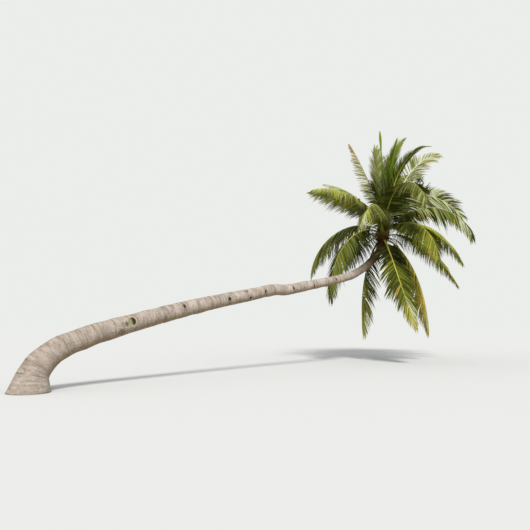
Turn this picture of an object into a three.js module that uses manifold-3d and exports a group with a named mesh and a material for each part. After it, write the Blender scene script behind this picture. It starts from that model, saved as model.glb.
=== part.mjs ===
// A coconut palm that leans far out over the ground and lifts its crown at the end.
// Millimetres, +Z up. The origin is the middle of the flat cut under the trunk, at ground level,
// and the trunk leans towards +X in the plane y = 0.
import * as THREE from 'three';
import { mergeVertices } from 'three/addons/utils/BufferGeometryUtils.js';
import Module from 'manifold-3d';

const wasm = await Module();
wasm.setup();

// The trunk: how far out, how high and how thick it is, from the ground to the foot of the crown.
const TRUNK = [
  { out: 0, height: 0, across: 980 },
  { out: 80, height: 380, across: 720 },
  { out: 500, height: 860, across: 590 },
  { out: 1300, height: 1200, across: 535 },
  { out: 3000, height: 1650, across: 470 },
  { out: 5150, height: 2130, across: 422 },
  { out: 7100, height: 2490, across: 380 },
  { out: 8000, height: 2660, across: 384 },
  { out: 8700, height: 2695, across: 365 },
  { out: 9500, height: 2835, across: 342 },
  { out: 11400, height: 3180, across: 306 },
  { out: 12500, height: 3440, across: 300 },
  { out: 13500, height: 3910, across: 296 },
  { out: 14170, height: 4370, across: 290 },
  { out: 14440, height: 4690, across: 290 },
  { out: 14550, height: 4900, across: 300 },
];
const TRUNK_SIDES = 21;
const TRUNK_RINGS = 52;
const FLARE_RINGS = 7; // rings between the first three of those places, where the trunk flares
const SEARCH_STEPS = 30; // halvings that find a place along the trunk

// Climbing notches: how far out they are, their turn up from level on the -Y side in degrees, and width.
const NOTCHES = [
  { out: 2560, turn: 20, wide: 190 },
  { out: 4250, turn: 30, wide: 110 },
  { out: 5920, turn: 3, wide: 105 },
  { out: 6810, turn: -29, wide: 80 },
  { out: 7470, turn: 4, wide: 85 },
  { out: 8840, turn: 9, wide: 75 },
  { out: 9960, turn: -16, wide: 75 },
  { out: 11250, turn: 12, wide: 70 },
];
const NOTCH_DEPTH = 38;
const NOTCH_MOUTH = { low: -0.5, high: 0.35, half: 0.55 }; // a notch's open and deep ends, along
const NOTCH_DEEP = { at: 0.2, half: 0.3 }; // and across the trunk, as shares of its width

// The heart: the bundle of leaf bases on the trunk's top, as [share of its length, radius].
const HEART_FOOT = new THREE.Vector3(14550, 0, 4900);
const HEART_TIP = new THREE.Vector3(14860, 0, 6120);
const HEART_AXIS = HEART_TIP.clone().sub(HEART_FOOT).normalize();
const HEART_PROFILE = [[0, 150], [0.1, 200], [0.3, 245], [0.55, 235], [0.8, 190], [1, 140]];
const HEART_SIDES = 18;
const LOWEST_TIER = 0.08; // where the oldest and the youngest frond leave the heart,
const HIGHEST_TIER = 0.94; // as shares of its length
const CLEARANCE = 0.3; // gap between a frond's foot and the heart, and under the heart

// The fronds, youngest first. tier: 0 for the oldest and lowest, 1 for the youngest. heading: compass
// of its foot, in degrees from +X. rise and fall: its slope at the foot and at the tip. bend: under 1
// where it droops early, over 1 where it droops late. swing: how far it veers sideways by its tip.
// roll: how far its blade has twisted by its tip. open: how far its leaflets have spread. lift: how far
// they stand above its blade's plane, or hang below it. leaf: their length beside a full-grown
// frond's. sag: how much they bend under their weight. Lengths are from foot to tip.
const FRONDS = [
  {
    tier: 1.0, heading: 300, rise: 88, fall: 71, bend: 1.5, length: 3500, roll: 55, open: 0.38, leaf: 1.1,
  },
  { tier: 0.98, heading: 344, rise: 85, fall: 38, bend: 2.4, length: 4050, roll: 45, open: 0.46 },
  { tier: 0.95, heading: 60, rise: 77, fall: 82, bend: 1.2, length: 3500, open: 0.8, leaf: 1.2 },
  { tier: 0.86, heading: 257, rise: 74, fall: -22, bend: 2.1, length: 4050, open: 0.46, leaf: 0.85 },
  { tier: 0.86, heading: 38, rise: 66, fall: 0, bend: 1.2, length: 4200, sag: 0.6 },
  { tier: 0.82, heading: 82, rise: 71, fall: 56, bend: 1.1, length: 4500, leaf: 0.58, lift: -32 },
  {
    tier: 0.8, heading: 331, rise: 67, fall: -2, bend: 2.2, length: 4750, swing: 12, roll: 60, leaf: 0.85,
  },
  { tier: 0.76, heading: 8, rise: 68, fall: -24, bend: 1.6, length: 5000, swing: -10, sag: 0.8 },
  {
    tier: 0.7, heading: 95, rise: 54, fall: 12, bend: 1.3, length: 4000, swing: -10, leaf: 0.85,
    lift: -10,
  },
  { tier: 0.68, heading: 239, rise: 80, fall: -77, bend: 0.95, length: 4700, lift: -20 },
  { tier: 0.62, heading: 134, rise: 50, fall: 0, bend: 1.0, length: 3600, lift: -10 },
  {
    tier: 0.58, heading: 343, rise: 76, fall: -53, bend: 0.86, length: 5500, swing: -12, roll: 85,
    leaf: 1.15,
  },
  { tier: 0.54, heading: 165, rise: 62, fall: -22, bend: 0.75, length: 4500, swing: 20, lift: -28 },
  { tier: 0.5, heading: 12, rise: 50, fall: -50, bend: 1.1, length: 4700, sag: 0.8 },
  {
    tier: 0.5, heading: 282, rise: 42, fall: -80, bend: 1.2, length: 4400, roll: 20, leaf: 1.1,
    lift: -15, sag: 0.75,
  },
  { tier: 0.45, heading: 5, rise: 34, fall: -58, bend: 1.0, length: 4500 },
  { tier: 0.42, heading: 115, rise: 42, fall: -86, bend: 0.72, length: 4350, swing: 12, lift: -30 },
  { tier: 0.34, heading: 334, rise: 63, fall: -63, bend: 0.54, length: 4900, leaf: 0.72, lift: -25 },
  {
    tier: 0.33, heading: 255, rise: 23, fall: -90, bend: 1.2, length: 3900, swing: -5, leaf: 1.25,
    lift: -22, sag: 0.35,
  },
  { tier: 0.28, heading: 62, rise: 20, fall: -50, bend: 0.8, length: 4200, leaf: 1.15 },
  { tier: 0.24, heading: 160, rise: 87, fall: -93, bend: 0.33, length: 4650, lift: -16 },
  { tier: 0.2, heading: 208, rise: 73, fall: -70, bend: 0.85, length: 4200, swing: -34, lift: -35 },
  {
    tier: 0.16, heading: 342, rise: 40, fall: -58, bend: 0.45, length: 5050, swing: -6, leaf: 0.58,
    lift: -25,
  },
  {
    tier: 0.1, heading: 234, rise: -37, fall: -71, bend: 0.5, length: 4650, swing: 38, open: 0.85,
    leaf: 0.92, lift: -4, sag: 0.25,
  },
  { tier: 0.06, heading: 323, rise: 12, fall: -89, bend: 0.3, length: 4750, leaf: 0.85, lift: -42 },
  { tier: 0, heading: 97, rise: -24, fall: -96, bend: 0.32, length: 4400, leaf: 0.9, lift: -42 },
].map((frond, i) => ({ name: `frond_${String(i + 1).padStart(2, '0')}`, ...frond }));
const FOOT_REACH = 0.6; // where a frond's curve starts, as a share of the heart's radius there
const LINE_STEPS = 60; // short straight steps that a frond's curve is added up from
const RIB_SHARE = 0.94; // the rib's share of a frond's length; its last leaflets are the rest
const PETIOLE_SHARE = 0.2; // the bare stalk's share of the rib
const PETIOLE_STEPS = 5;
const LEAFLET_STEPS = 19; // leaflets on each side of a rib
const FOOT_WIDTH = [120, 70]; // a rib's width at its foot, on the oldest and on the youngest frond
const RIB_WIDTH = [58, 12]; // and at the first leaflet and at its end
const RIB_DEPTH_SHARE = 0.6; // its depth as a share of its width
const RIB_TOP = 0.4; // the part of its depth above its edges
const LEAFLET_LENGTH = 0.21; // longest leaflet's share of its frond's length
const LEAFLET_MIDDLE = 0.45; // where a leaflet's middle section stands along it
const LEAFLET_WIDTH = 0.8; // its width there, as a share of the space between leaflets
const ON_EDGE = 0.5; // leaflets spread less than this stand on edge, folded along their frond
const LEAFLET_THICKNESS = 0.014; // its thickness there, as a share of its length
const FIRST_LEAFLET = 0.55; // the first leaflet's share of the longest,
const FULL_FROM = 0.35; // from where to where the leaflets are the longest, between the first and the tip,
const FULL_TO = 0.45;
const TIP_LOSS = 0.72; // and how much shorter the last is
const TIP_LOSS_BEND = 1.5; // over 1: the loss comes late
const SPLAY = [74, 20]; // angle between leaflet and rib by the petiole and at the tip, in degrees
const SPLAY_BEND = 1.4; // over 1: the angle closes late
const LIFT = [-24, 34]; // leaflets' lift on the oldest and on the youngest frond, in degrees
const SAG = [0.8, 0.3]; // their sag on the oldest and on the youngest frond
const SHORT_LEAFLET = 0.6; // a leaflet that meets another frond is tried at this share of its length
const SPIKE_MARGIN = 4; // room kept round a leaflet

// The spear: the youngest leaf, still rolled up, as [share of its length, radius].
const SPEAR_LENGTH = 3640;
const SPEAR_PROFILE = [
  [0, 52], [0.3, 46], [0.62, 34], [0.76, 26], [0.85, 50], [0.92, 56], [0.97, 34], [1, 8],
];
const SPEAR_SIDES = 6;
const SPEAR_TILT = -4.5; // degrees from upright, back towards the ground mount

// Flower stalks below the fronds: heading, slope at the foot and at the tip, length, and side sprigs.
const STALKS = [
  { name: 'flower_stalk_1', heading: 272, rise: 5, fall: -70, length: 760, sprigs: 7 },
  { name: 'flower_stalk_2', heading: 300, rise: 12, fall: -62, length: 820, sprigs: 7 },
  { name: 'flower_stalk_3', heading: 150, rise: 10, fall: -68, length: 800, sprigs: 8 },
];
const STALK_TIER = 0.06;
const STALK_STEPS = 5;
const STALK_RADIUS = [20, 7];
const SPRIG_PLACES = [0.4, 0.95]; // where the first and the last sprig leave their stalk
const SPRIG_SPREAD = 0.75; // how far a sprig leans to its side, and how far down,
const SPRIG_DROP = 0.2; // for each step along the stalk
const SPRIG_SAG = 0.8;
const SPRIG_RADIUS = [7, 3.5];
const SPRIG_LENGTH = 0.36; // a share of its stalk's length
const SPRIG_STEPS = 2;
const LIMB_SIDES = 4; // sides of a flower stalk and its sprigs

const COLOURS = {
  trunk: '#a3968a', heart: '#5b4630', frond: '#5c7030', spear: '#8aa03a', stalk: '#6b5a34',
};
const ROUGHNESS = { trunk: 0.9, heart: 0.95, frond: 0.65, spear: 0.6, stalk: 0.8 };
const SAME_POINT = 1e-3; // points closer than this are one
// Every order of three points.
const ORDERS = [[0, 1, 2], [1, 2, 0], [2, 0, 1], [0, 2, 1], [2, 1, 0], [1, 0, 2]];
const UP = new THREE.Vector3(0, 0, 1);
const SIDE = new THREE.Vector3(0, 1, 0);
const radians = THREE.MathUtils.degToRad;
const mix = THREE.MathUtils.lerp;

// Numbers from 0 to 1 in equal steps.
function evenly(steps) {
  return Array.from({ length: steps + 1 }, (_, i) => i / steps);
}

// A closed solid from points and triangles.
function solid(points, triangles) {
  const mesh = new wasm.Mesh({
    numProp: 3,
    vertProperties: new Float32Array(points.flatMap((p) => [p.x, p.y, p.z])),
    triVerts: new Uint32Array(triangles.flat()),
  });
  return new wasm.Manifold(mesh);
}

// Triangles of a skin over equal rings of points, closed by a fan at each end.
function skin(ringCount, sides) {
  const triangles = [];
  for (let i = 0; i + 1 < ringCount; i++) {
    for (let j = 0; j < sides; j++) {
      const [a, b] = [i * sides + j, i * sides + ((j + 1) % sides)];
      triangles.push([a, b, b + sides], [a, b + sides, a + sides]);
    }
  }
  const last = (ringCount - 1) * sides;
  for (let j = 1; j + 1 < sides; j++) {
    triangles.push([0, j + 1, j], [last, last + j, last + j + 1]);
  }
  return triangles;
}

// A round ring of points about a centre, square to a direction, starting on the side given.
function ring(centre, direction, radius, sides, start) {
  const u = start.clone().addScaledVector(direction, -start.dot(direction)).normalize();
  const v = direction.clone().cross(u);
  return Array.from({ length: sides }, (_, j) => {
    const turn = (2 * Math.PI * j) / sides;
    return centre.clone()
      .addScaledVector(u, radius * Math.cos(turn))
      .addScaledVector(v, radius * Math.sin(turn));
  });
}

// A round solid with a straight axis and a profile of [share of its length, radius].
function roundSolid(foot, tip, profile, sides, grow = 0) {
  const axis = tip.clone().sub(foot).normalize();
  const rings = profile.map(([share, radius]) => (
    ring(foot.clone().lerp(tip, share), axis, radius + grow, sides, SIDE)));
  return solid(rings.flat(), skin(profile.length, sides));
}

// The value at t of a list of values spread evenly from 0 to 1.
function along(values, t) {
  const at = Math.min(t, 1) * (values.length - 1);
  const i = Math.min(Math.floor(at), values.length - 2);
  return mix(values[i], values[i + 1], at - i);
}

// The trunk's middle line.
const trunkLine = new THREE.CatmullRomCurve3(
  TRUNK.map((place) => new THREE.Vector3(place.out, 0, place.height)), false, 'centripetal');

// Its cross-section at t, from 0 at the ground, where it is level, to 1, where it is square to the heart.
function trunkSection(t) {
  const centre = trunkLine.getPoint(t);
  const radius = along(TRUNK.map((place) => place.across), t) / 2;
  const ends = new Map([[0, UP], [1, HEART_AXIS]]);
  return { centre, radius, direction: ends.get(t) ?? trunkLine.getTangent(t) };
}

// Where along the trunk's line its rings stand: close together in the flare.
function trunkShares() {
  const flare = 2 / (TRUNK.length - 1);
  const above = evenly(TRUNK_RINGS - 1 - FLARE_RINGS).map((share) => mix(flare, 1, share));
  return [...evenly(FLARE_RINGS).slice(0, -1).map((share) => share * flare), ...above];
}

// The place on the trunk's line that lies a distance out.
function shareAt(out) {
  let reached = 0;
  for (let half = 1; half <= SEARCH_STEPS; half++) {
    const next = reached + 2 ** -half;
    reached = trunkLine.getPoint(next).x < out ? next : reached;
  }
  return reached;
}

// A notch: a wedge with a steep upper face, as a climber cuts it.
function notch({ out, turn, wide }) {
  const { centre, direction, radius } = trunkSection(shareAt(out));
  const side = SIDE.clone().negate();
  const over = side.clone().cross(direction).normalize();
  const outward = side.clone().multiplyScalar(Math.cos(radians(turn)))
    .addScaledVector(over, Math.sin(radians(turn)));
  const around = direction.clone().cross(outward);
  const place = (length, across, depth) => centre.clone()
    .addScaledVector(direction, length * wide)
    .addScaledVector(around, across * wide)
    .addScaledVector(outward, radius + depth);
  const { low, high, half } = NOTCH_MOUTH;
  const mouth = [[low, -half], [low, half], [high, half], [high, -half]].map(
    ([length, across]) => place(length, across, NOTCH_DEPTH));
  const deep = [-1, 1].map((hand) => place(NOTCH_DEEP.at, hand * NOTCH_DEEP.half, -NOTCH_DEPTH));
  return solid([...mouth, ...deep], [
    [0, 1, 2], [0, 2, 3], [0, 4, 5], [0, 5, 1], [1, 5, 2], [2, 5, 4], [2, 4, 3], [3, 4, 0],
  ]);
}

function trunk() {
  const rings = trunkShares().map((t) => {
    const { centre, direction, radius } = trunkSection(t);
    return ring(centre, direction, radius, TRUNK_SIDES, SIDE);
  });
  const whole = solid(rings.flat(), skin(rings.length, TRUNK_SIDES));
  return NOTCHES.reduce((made, each) => made.subtract(notch(each)), whole);
}

function heart(grow = 0) {
  const foot = HEART_FOOT.clone().addScaledVector(HEART_AXIS, CLEARANCE - grow);
  const tip = HEART_TIP.clone().addScaledVector(HEART_AXIS, grow);
  return roundSolid(foot, tip, HEART_PROFILE, HEART_SIDES, grow);
}

// The heart's radius at a share of its length.
function heartRadius(share) {
  const above = Math.max(1, HEART_PROFILE.findIndex(([place]) => place >= share));
  const [[low, narrow], [high, wide]] = [HEART_PROFILE[above - 1], HEART_PROFILE[above]];
  return mix(narrow, wide, (share - low) / (high - low));
}

// A level direction from its compass heading.
function level(heading) {
  return new THREE.Vector3(Math.cos(radians(heading)), Math.sin(radians(heading)), 0);
}

// Points and directions along something that leaves the heart and bends down: a frond or a stalk.
function bentLine({ tier, heading, rise, fall, bend = 1, length, swing = 0, roll = 0 }, shares) {
  const share = mix(LOWEST_TIER, HIGHEST_TIER, tier);
  const foot = HEART_FOOT.clone().lerp(HEART_TIP, share)
    .addScaledVector(level(heading), FOOT_REACH * heartRadius(share));
  const directionAt = (s) => {
    const slope = radians(mix(rise, fall, s ** bend));
    return level(heading + swing * s * s).multiplyScalar(Math.cos(slope))
      .addScaledVector(UP, Math.sin(slope));
  };
  const line = [foot];
  for (let i = 0; i < LINE_STEPS; i++) {
    const direction = directionAt((i + 0.5) / LINE_STEPS);
    line.push(line[i].clone().addScaledVector(direction, length / LINE_STEPS));
  }
  return shares.map((s) => {
    const i = Math.min(Math.floor(s * LINE_STEPS), LINE_STEPS - 1);
    const direction = directionAt(s);
    const side = level(heading + swing * s * s - 90)
      .applyAxisAngle(direction, radians(roll * Math.sqrt(s)));
    return {
      centre: line[i].clone().lerp(line[i + 1], s * LINE_STEPS - i),
      direction,
      side,
      normal: side.clone().cross(direction).normalize(),
    };
  });
}

// How long a leaflet is at q of the way from the first leaflet to the tip, as a share of the longest.
function leafletShape(q) {
  const swell = mix(FIRST_LEAFLET, 1, Math.sin((Math.PI / 2) * Math.min(q / FULL_FROM, 1)));
  return swell * (1 - TIP_LOSS * Math.max(0, (q - FULL_TO) / (1 - FULL_TO)) ** TIP_LOSS_BEND);
}

// The point a share t along a leaflet that sags under its weight.
function leafletPoint(root, direction, length, sag, t) {
  const scale = length / Math.hypot(1, sag / 2);
  return root.clone().addScaledVector(direction, scale * t).addScaledVector(UP, (-scale * sag * t * t) / 2);
}

// The rib's sections and the leaflets that could stand on it.
function frondPlan(frond) {
  const petiole = evenly(PETIOLE_STEPS).slice(0, -1).map((share) => share * PETIOLE_SHARE);
  const blade = evenly(LEAFLET_STEPS).map((share) => mix(PETIOLE_SHARE, 1, share));
  const shares = [...petiole, ...blade];
  const line = bentLine(frond, shares.map((share) => share * RIB_SHARE));
  const sections = line.map(({ centre, direction, side, normal }, i) => {
    const wide = shares[i] < PETIOLE_SHARE
      ? mix(mix(...FOOT_WIDTH, frond.tier), RIB_WIDTH[0], shares[i] / PETIOLE_SHARE)
      : mix(...RIB_WIDTH, (shares[i] - PETIOLE_SHARE) / (1 - PETIOLE_SHARE));
    const deep = wide * RIB_DEPTH_SHARE;
    return {
      direction,
      side,
      normal,
      points: [
        centre.clone().addScaledVector(side, -wide / 2),
        centre.clone().addScaledVector(normal, deep * RIB_TOP),
        centre.clone().addScaledVector(side, wide / 2),
        centre.clone().addScaledVector(normal, deep * (RIB_TOP - 1)),
      ],
    };
  });
  const leaflets = [];
  for (let k = 0; k < LEAFLET_STEPS; k++) {
    leaflets.push(leafletPlan(frond, sections, k, -1), leafletPlan(frond, sections, k, 1));
  }
  return { frond, sections, leaflets };
}

// The triangle that a leaflet stands on, as places in the rib's points, four to a section. Faces 0 and
// 1 are the rib's upper ones, left and right, and 2 and 3 the lower ones, right and left.
function baseOf({ step, face }) {
  const [a, b] = [step * 4 + face, step * 4 + ((face + 1) % 4)];
  return face % 2 === 0 ? [a, b, a + 4] : [a, b, b + 4];
}

// The volume under some triangles, as seen from the origin, times six.
function volumeUnder(points, triangles) {
  return triangles.reduce((sum, [a, b, c]) => (
    sum + points[a].dot(points[b].clone().cross(points[c]))), 0);
}

// One leaflet on the rib: the face that it stands on, an upper one where it lifts and a lower one where
// it hangs, the lengths that it is tried at, and its points at a length.
function leafletPlan(frond, sections, k, hand) {
  const { tier, length, open = 1, leaf = 1, lift = mix(...LIFT, tier), sag = mix(...SAG, tier) } = frond;
  const step = PETIOLE_STEPS + k;
  const [near, far] = [sections[step], sections[step + 1]];
  const edge = hand < 0 ? 0 : 2;
  const upper = lift >= 0;
  const q = (k + 0.5) / LEAFLET_STEPS;
  const splay = radians(mix(...SPLAY, q ** SPLAY_BEND) * open);
  const outward = near.side.clone().multiplyScalar(hand * Math.cos(radians(lift)))
    .addScaledVector(near.normal, Math.sin(radians(lift)));
  const direction = near.direction.clone().multiplyScalar(Math.cos(splay))
    .addScaledVector(outward, Math.sin(splay)).normalize();
  const root = near.points[edge].clone().lerp(far.points[edge], 0.5);
  const full = length * LEAFLET_LENGTH * leaf * leafletShape(q);
  const folded = open < ON_EDGE;
  const space = near.points[edge].distanceTo(far.points[edge]) * (folded ? 1 : Math.sin(splay));
  const face = upper ? edge / 2 : 3 - edge / 2;
  const corners = baseCorners(sections, { step, face });
  const wideAlong = folded ? near.normal : near.direction;
  const facing = folded ? outward : near.normal.clone().multiplyScalar(upper ? 1 : -1);
  const shape = (size, thicken = 0) => {
    const middle = leafletPoint(root, direction, size, sag, LEAFLET_MIDDLE);
    const tip = leafletPoint(root, direction, size, sag, 1);
    const run = tip.clone().sub(root).normalize();
    const across = wideAlong.clone().addScaledVector(run, -wideAlong.dot(run)).normalize();
    const ridge = across.clone().cross(run);
    ridge.multiplyScalar(Math.sign(ridge.dot(facing)));
    const [low, high] = [-1, 1].map((way) => middle.clone()
      .addScaledVector(across, way * ((space * LEAFLET_WIDTH) / 2 + thicken))
      .addScaledVector(ridge, -thicken));
    const top = middle.clone().addScaledVector(ridge, size * LEAFLET_THICKNESS + thicken);
    const end = tip.addScaledVector(run, thicken);
    return { middle: inFullestOrder(corners, [low, top, high], end), tip: end };
  };
  return { step, face, sizes: [full, full * SHORT_LEAFLET], shape };
}

// Corners of the triangle that a leaflet stands on.
function baseCorners(sections, leaflet) {
  return baseOf(leaflet).map((at) => sections[Math.floor(at / 4)].points[at % 4]);
}

// The sides and point of a leaflet that grows out of a triangle of the points given. Each side is split
// along the diagonal that leaves the leaflet fuller.
function spikeSides(points, base, first) {
  return [0, 1, 2].flatMap((n) => {
    const m = (n + 1) % 3;
    const [a, b, c, d] = [base[n], base[m], first + m, first + n];
    const splits = [[[a, b, c], [a, c, d]], [[a, b, d], [b, c, d]]];
    const [one, other] = splits.map((triangles) => volumeUnder(points, triangles));
    return [...splits[one > other ? 0 : 1], [d, c, first + 3]];
  });
}

// A leaflet's middle points in the order that leaves it fullest. In a wrong one it turns inside out.
function inFullestOrder(corners, middle, tip) {
  const inOrder = (order) => order.map((n) => middle[n]);
  const volume = (order) => {
    const points = [...corners, ...inOrder(order), tip];
    return volumeUnder(points, [[0, 2, 1], ...spikeSides(points, [0, 1, 2], 3)]);
  };
  return inOrder(ORDERS.reduce((best, order) => (volume(order) > volume(best) ? order : best)));
}

// A frond in one skin: a rib, and the chosen leaflets in place of the triangles that they stand on.
function frondSolid({ sections, leaflets }, chosen = []) {
  const points = sections.flatMap((section) => section.points);
  const triangles = [];
  const leafletOn = new Map(leaflets.map(({ step, face }, n) => [step * 4 + face, chosen[n]]));
  for (let step = 0; step + 1 < sections.length; step++) {
    for (let face = 0; face < 4; face++) {
      const [a, b] = [step * 4 + face, step * 4 + ((face + 1) % 4)];
      const base = baseOf({ step, face });
      const leaflet = leafletOn.get(step * 4 + face);
      triangles.push(face % 2 === 0 ? [b, b + 4, a + 4] : [a, b + 4, a + 4]);
      if (leaflet) {
        const first = points.length;
        points.push(...leaflet.middle, leaflet.tip);
        triangles.push(...spikeSides(points, base, first));
      } else {
        triangles.push(base);
      }
    }
  }
  const last = (sections.length - 1) * 4;
  triangles.push([0, 2, 1], [0, 3, 2], [last, last + 1, last + 2], [last, last + 2, last + 3]);
  return solid(points, triangles);
}

// A leaflet by itself as a closed spike, to test for room.
function spike(sections, leaflet, { middle, tip }) {
  const points = [...baseCorners(sections, leaflet), ...middle, tip];
  return solid(points, [[0, 2, 1], ...spikeSides(points, [0, 1, 2], 3)]);
}

// Solids that stand already, with their boxes, and whose they are.
const standing = [];

function stand(owner, made) {
  standing.push({ owner, made, box: made.boundingBox() });
}

function hasRoom(owner, made) {
  const { min, max } = made.boundingBox();
  return !standing.some((other) => other.owner !== owner
    && [0, 1, 2].every((k) => other.box.min[k] < max[k] && other.box.max[k] > min[k])
    && !other.made.intersect(made).isEmpty());
}

// Chooses, for every frond, the leaflets that have room beside what stands already.
function chooseLeaflets(plans) {
  const chosen = plans.map((plan) => plan.leaflets.map(() => null));
  const count = plans[0].leaflets.length;
  for (let n = 0; n < count; n++) {
    plans.forEach((plan, p) => {
      const leaflet = plan.leaflets[n];
      for (const size of leaflet.sizes) {
        const test = spike(plan.sections, leaflet, leaflet.shape(size, SPIKE_MARGIN));
        if (hasRoom(plan.frond.name, test)) {
          chosen[p][n] = leaflet.shape(size);
          stand(plan.frond.name, test);
          break;
        }
      }
    });
  }
  return chosen;
}

function spear() {
  const foot = HEART_TIP.clone().addScaledVector(HEART_AXIS, CLEARANCE);
  const direction = new THREE.Vector3(Math.sin(radians(SPEAR_TILT)), 0, Math.cos(radians(SPEAR_TILT)));
  const tip = foot.clone().addScaledVector(direction, SPEAR_LENGTH);
  return roundSolid(foot, tip, SPEAR_PROFILE, SPEAR_SIDES).subtract(heart(CLEARANCE));
}

// A tapering limb along a line.
function limb(line, radii) {
  const rings = line.map(({ centre, direction, side }, i) => (
    ring(centre, direction, along(radii, i / (line.length - 1)), LIMB_SIDES, side)));
  return solid(rings.flat(), skin(line.length, LIMB_SIDES));
}

// A sprig that leaves its stalk to one side, 1 or -1, and sags.
function sprig(stalk, share, hand) {
  const [{ centre, direction, side }] = bentLine(stalk, [share]);
  const run = direction.clone()
    .addScaledVector(side, SPRIG_SPREAD * hand)
    .addScaledVector(UP, -SPRIG_DROP).normalize();
  const line = evenly(SPRIG_STEPS).map((t) => ({
    centre: leafletPoint(centre, run, stalk.length * SPRIG_LENGTH, SPRIG_SAG, t),
    direction: run,
    side: UP,
  }));
  return limb(line, SPRIG_RADIUS);
}

// A flower stalk with its sprigs, left and right in turn.
function flowerStalk(about) {
  const stalk = { ...about, tier: STALK_TIER };
  const stem = limb(bentLine(stalk, evenly(STALK_STEPS)), STALK_RADIUS);
  return evenly(stalk.sprigs - 1).reduce((made, share, k) => (
    made.add(sprig(stalk, mix(...SPRIG_PLACES, share), k % 2 ? 1 : -1))), stem);
}

function material(kind) {
  return new THREE.MeshStandardMaterial({
    color: COLOURS[kind], roughness: ROUGHNESS[kind], metalness: 0,
  });
}

// A named mesh of a solid, for the scene.
function node(name, made, finish) {
  const { vertProperties, triVerts, numProp } = made.getMesh();
  const geometry = new THREE.BufferGeometry();
  const positions = new THREE.BufferAttribute(new Float32Array(vertProperties), numProp);
  geometry.setAttribute('position', positions);
  geometry.setIndex(new THREE.BufferAttribute(new Uint32Array(triVerts), 1));
  const merged = mergeVertices(geometry, SAME_POINT);
  merged.computeVertexNormals();
  const mesh = new THREE.Mesh(merged, finish);
  mesh.name = name;
  return mesh;
}

function palm() {
  const tree = new THREE.Group();
  const trunkMade = trunk();
  const heartMade = heart();
  const spearMade = spear();
  const room = heart(CLEARANCE);
  stand('trunk', trunkMade);
  stand('heart', heartMade);
  stand('spear', spearMade);
  tree.add(node('trunk', trunkMade, material('trunk')));
  tree.add(node('heart', heartMade, material('heart')));
  tree.add(node('spear', spearMade, material('spear')));

  const stalkFinish = material('stalk');
  for (const stalk of STALKS) {
    const made = flowerStalk(stalk).subtract(room);
    stand(stalk.name, made);
    tree.add(node(stalk.name, made, stalkFinish));
  }

  const plans = FRONDS.map(frondPlan);
  plans.forEach((plan) => stand(plan.frond.name, frondSolid(plan).subtract(room)));
  const chosen = chooseLeaflets(plans);
  const frondFinish = material('frond');
  plans.forEach((plan, p) => {
    tree.add(node(plan.frond.name, frondSolid(plan, chosen[p]).subtract(room), frondFinish));
  });
  return tree;
}

export default palm();
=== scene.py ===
# A coconut palm that leans far out over the ground and lifts its crown at the end.
# Metres, +Z up. The origin is the middle of the flat cut under the trunk, and the trunk leans to +X.
import math

import bpy
import numpy as np
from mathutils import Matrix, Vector


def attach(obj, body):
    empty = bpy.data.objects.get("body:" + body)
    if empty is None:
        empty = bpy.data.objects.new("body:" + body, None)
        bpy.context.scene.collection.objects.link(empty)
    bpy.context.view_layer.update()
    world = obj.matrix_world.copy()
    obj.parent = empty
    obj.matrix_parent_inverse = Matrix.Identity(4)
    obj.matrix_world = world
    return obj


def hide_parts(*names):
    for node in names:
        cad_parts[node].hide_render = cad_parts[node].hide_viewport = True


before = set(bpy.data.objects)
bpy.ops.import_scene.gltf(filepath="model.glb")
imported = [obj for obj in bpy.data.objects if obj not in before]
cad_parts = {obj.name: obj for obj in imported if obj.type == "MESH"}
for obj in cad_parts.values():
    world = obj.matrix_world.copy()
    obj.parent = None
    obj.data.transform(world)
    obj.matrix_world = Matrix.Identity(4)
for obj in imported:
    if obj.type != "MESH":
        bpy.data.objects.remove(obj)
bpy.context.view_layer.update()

UP = np.array([0.0, 0.0, 1.0])
SIDEWAYS = np.array([0.0, 1.0, 0.0])  # square to the plane in which the trunk bends
NO_LIMB = (0.31, 0.94, 0.11)  # a direction that no limb takes
NOISE_SIZES = (0.7, 1.6)  # sizes of the waves of a noise, beside its own
BODY = "root"
SEEDS = {"scars": 11, "scar fade": 5, "lumps": 6, "grain": 7, "heart": (21, 22), "fibres": 41, "leaves": 300}

# The trunk: how far out, how high and how thick it is, from the ground to the foot of the crown.
TRUNK = np.array([
    (0, 0, 0.98), (0.08, 0.38, 0.72), (0.5, 0.86, 0.59), (1.3, 1.2, 0.535), (3.0, 1.65, 0.47),
    (5.15, 2.13, 0.422), (7.1, 2.49, 0.38), (8.0, 2.66, 0.384), (8.7, 2.695, 0.365),
    (9.5, 2.835, 0.342), (11.4, 3.18, 0.306), (12.5, 3.44, 0.3), (13.5, 3.91, 0.296),
    (14.17, 4.37, 0.29), (14.44, 4.69, 0.29), (14.55, 4.9, 0.3),
])
LINE_SAMPLES = 4000
FOOT_LEVELLED = 0.7  # length over which the trunk's sections turn from level to square
TOP_LEVELLED = 0.25  # and from square to the heart's tilt at its top
FRONT_HALF = 60  # degrees each side of -Y where its mesh is finest
FRONT_COLUMNS = 50
BACK_COLUMNS = 42
RING_GAP = 0.045  # most between rings of the mesh
SCAR_RINGS = (-0.015, -0.006, 0.0, 0.006, 0.015)  # rings round a scar
NOTCH_RING_GAP = 0.007
NOTCH_RING_REACH = 0.11
LEAST_RING_GAP = 0.6 * NOTCH_RING_GAP

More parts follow.
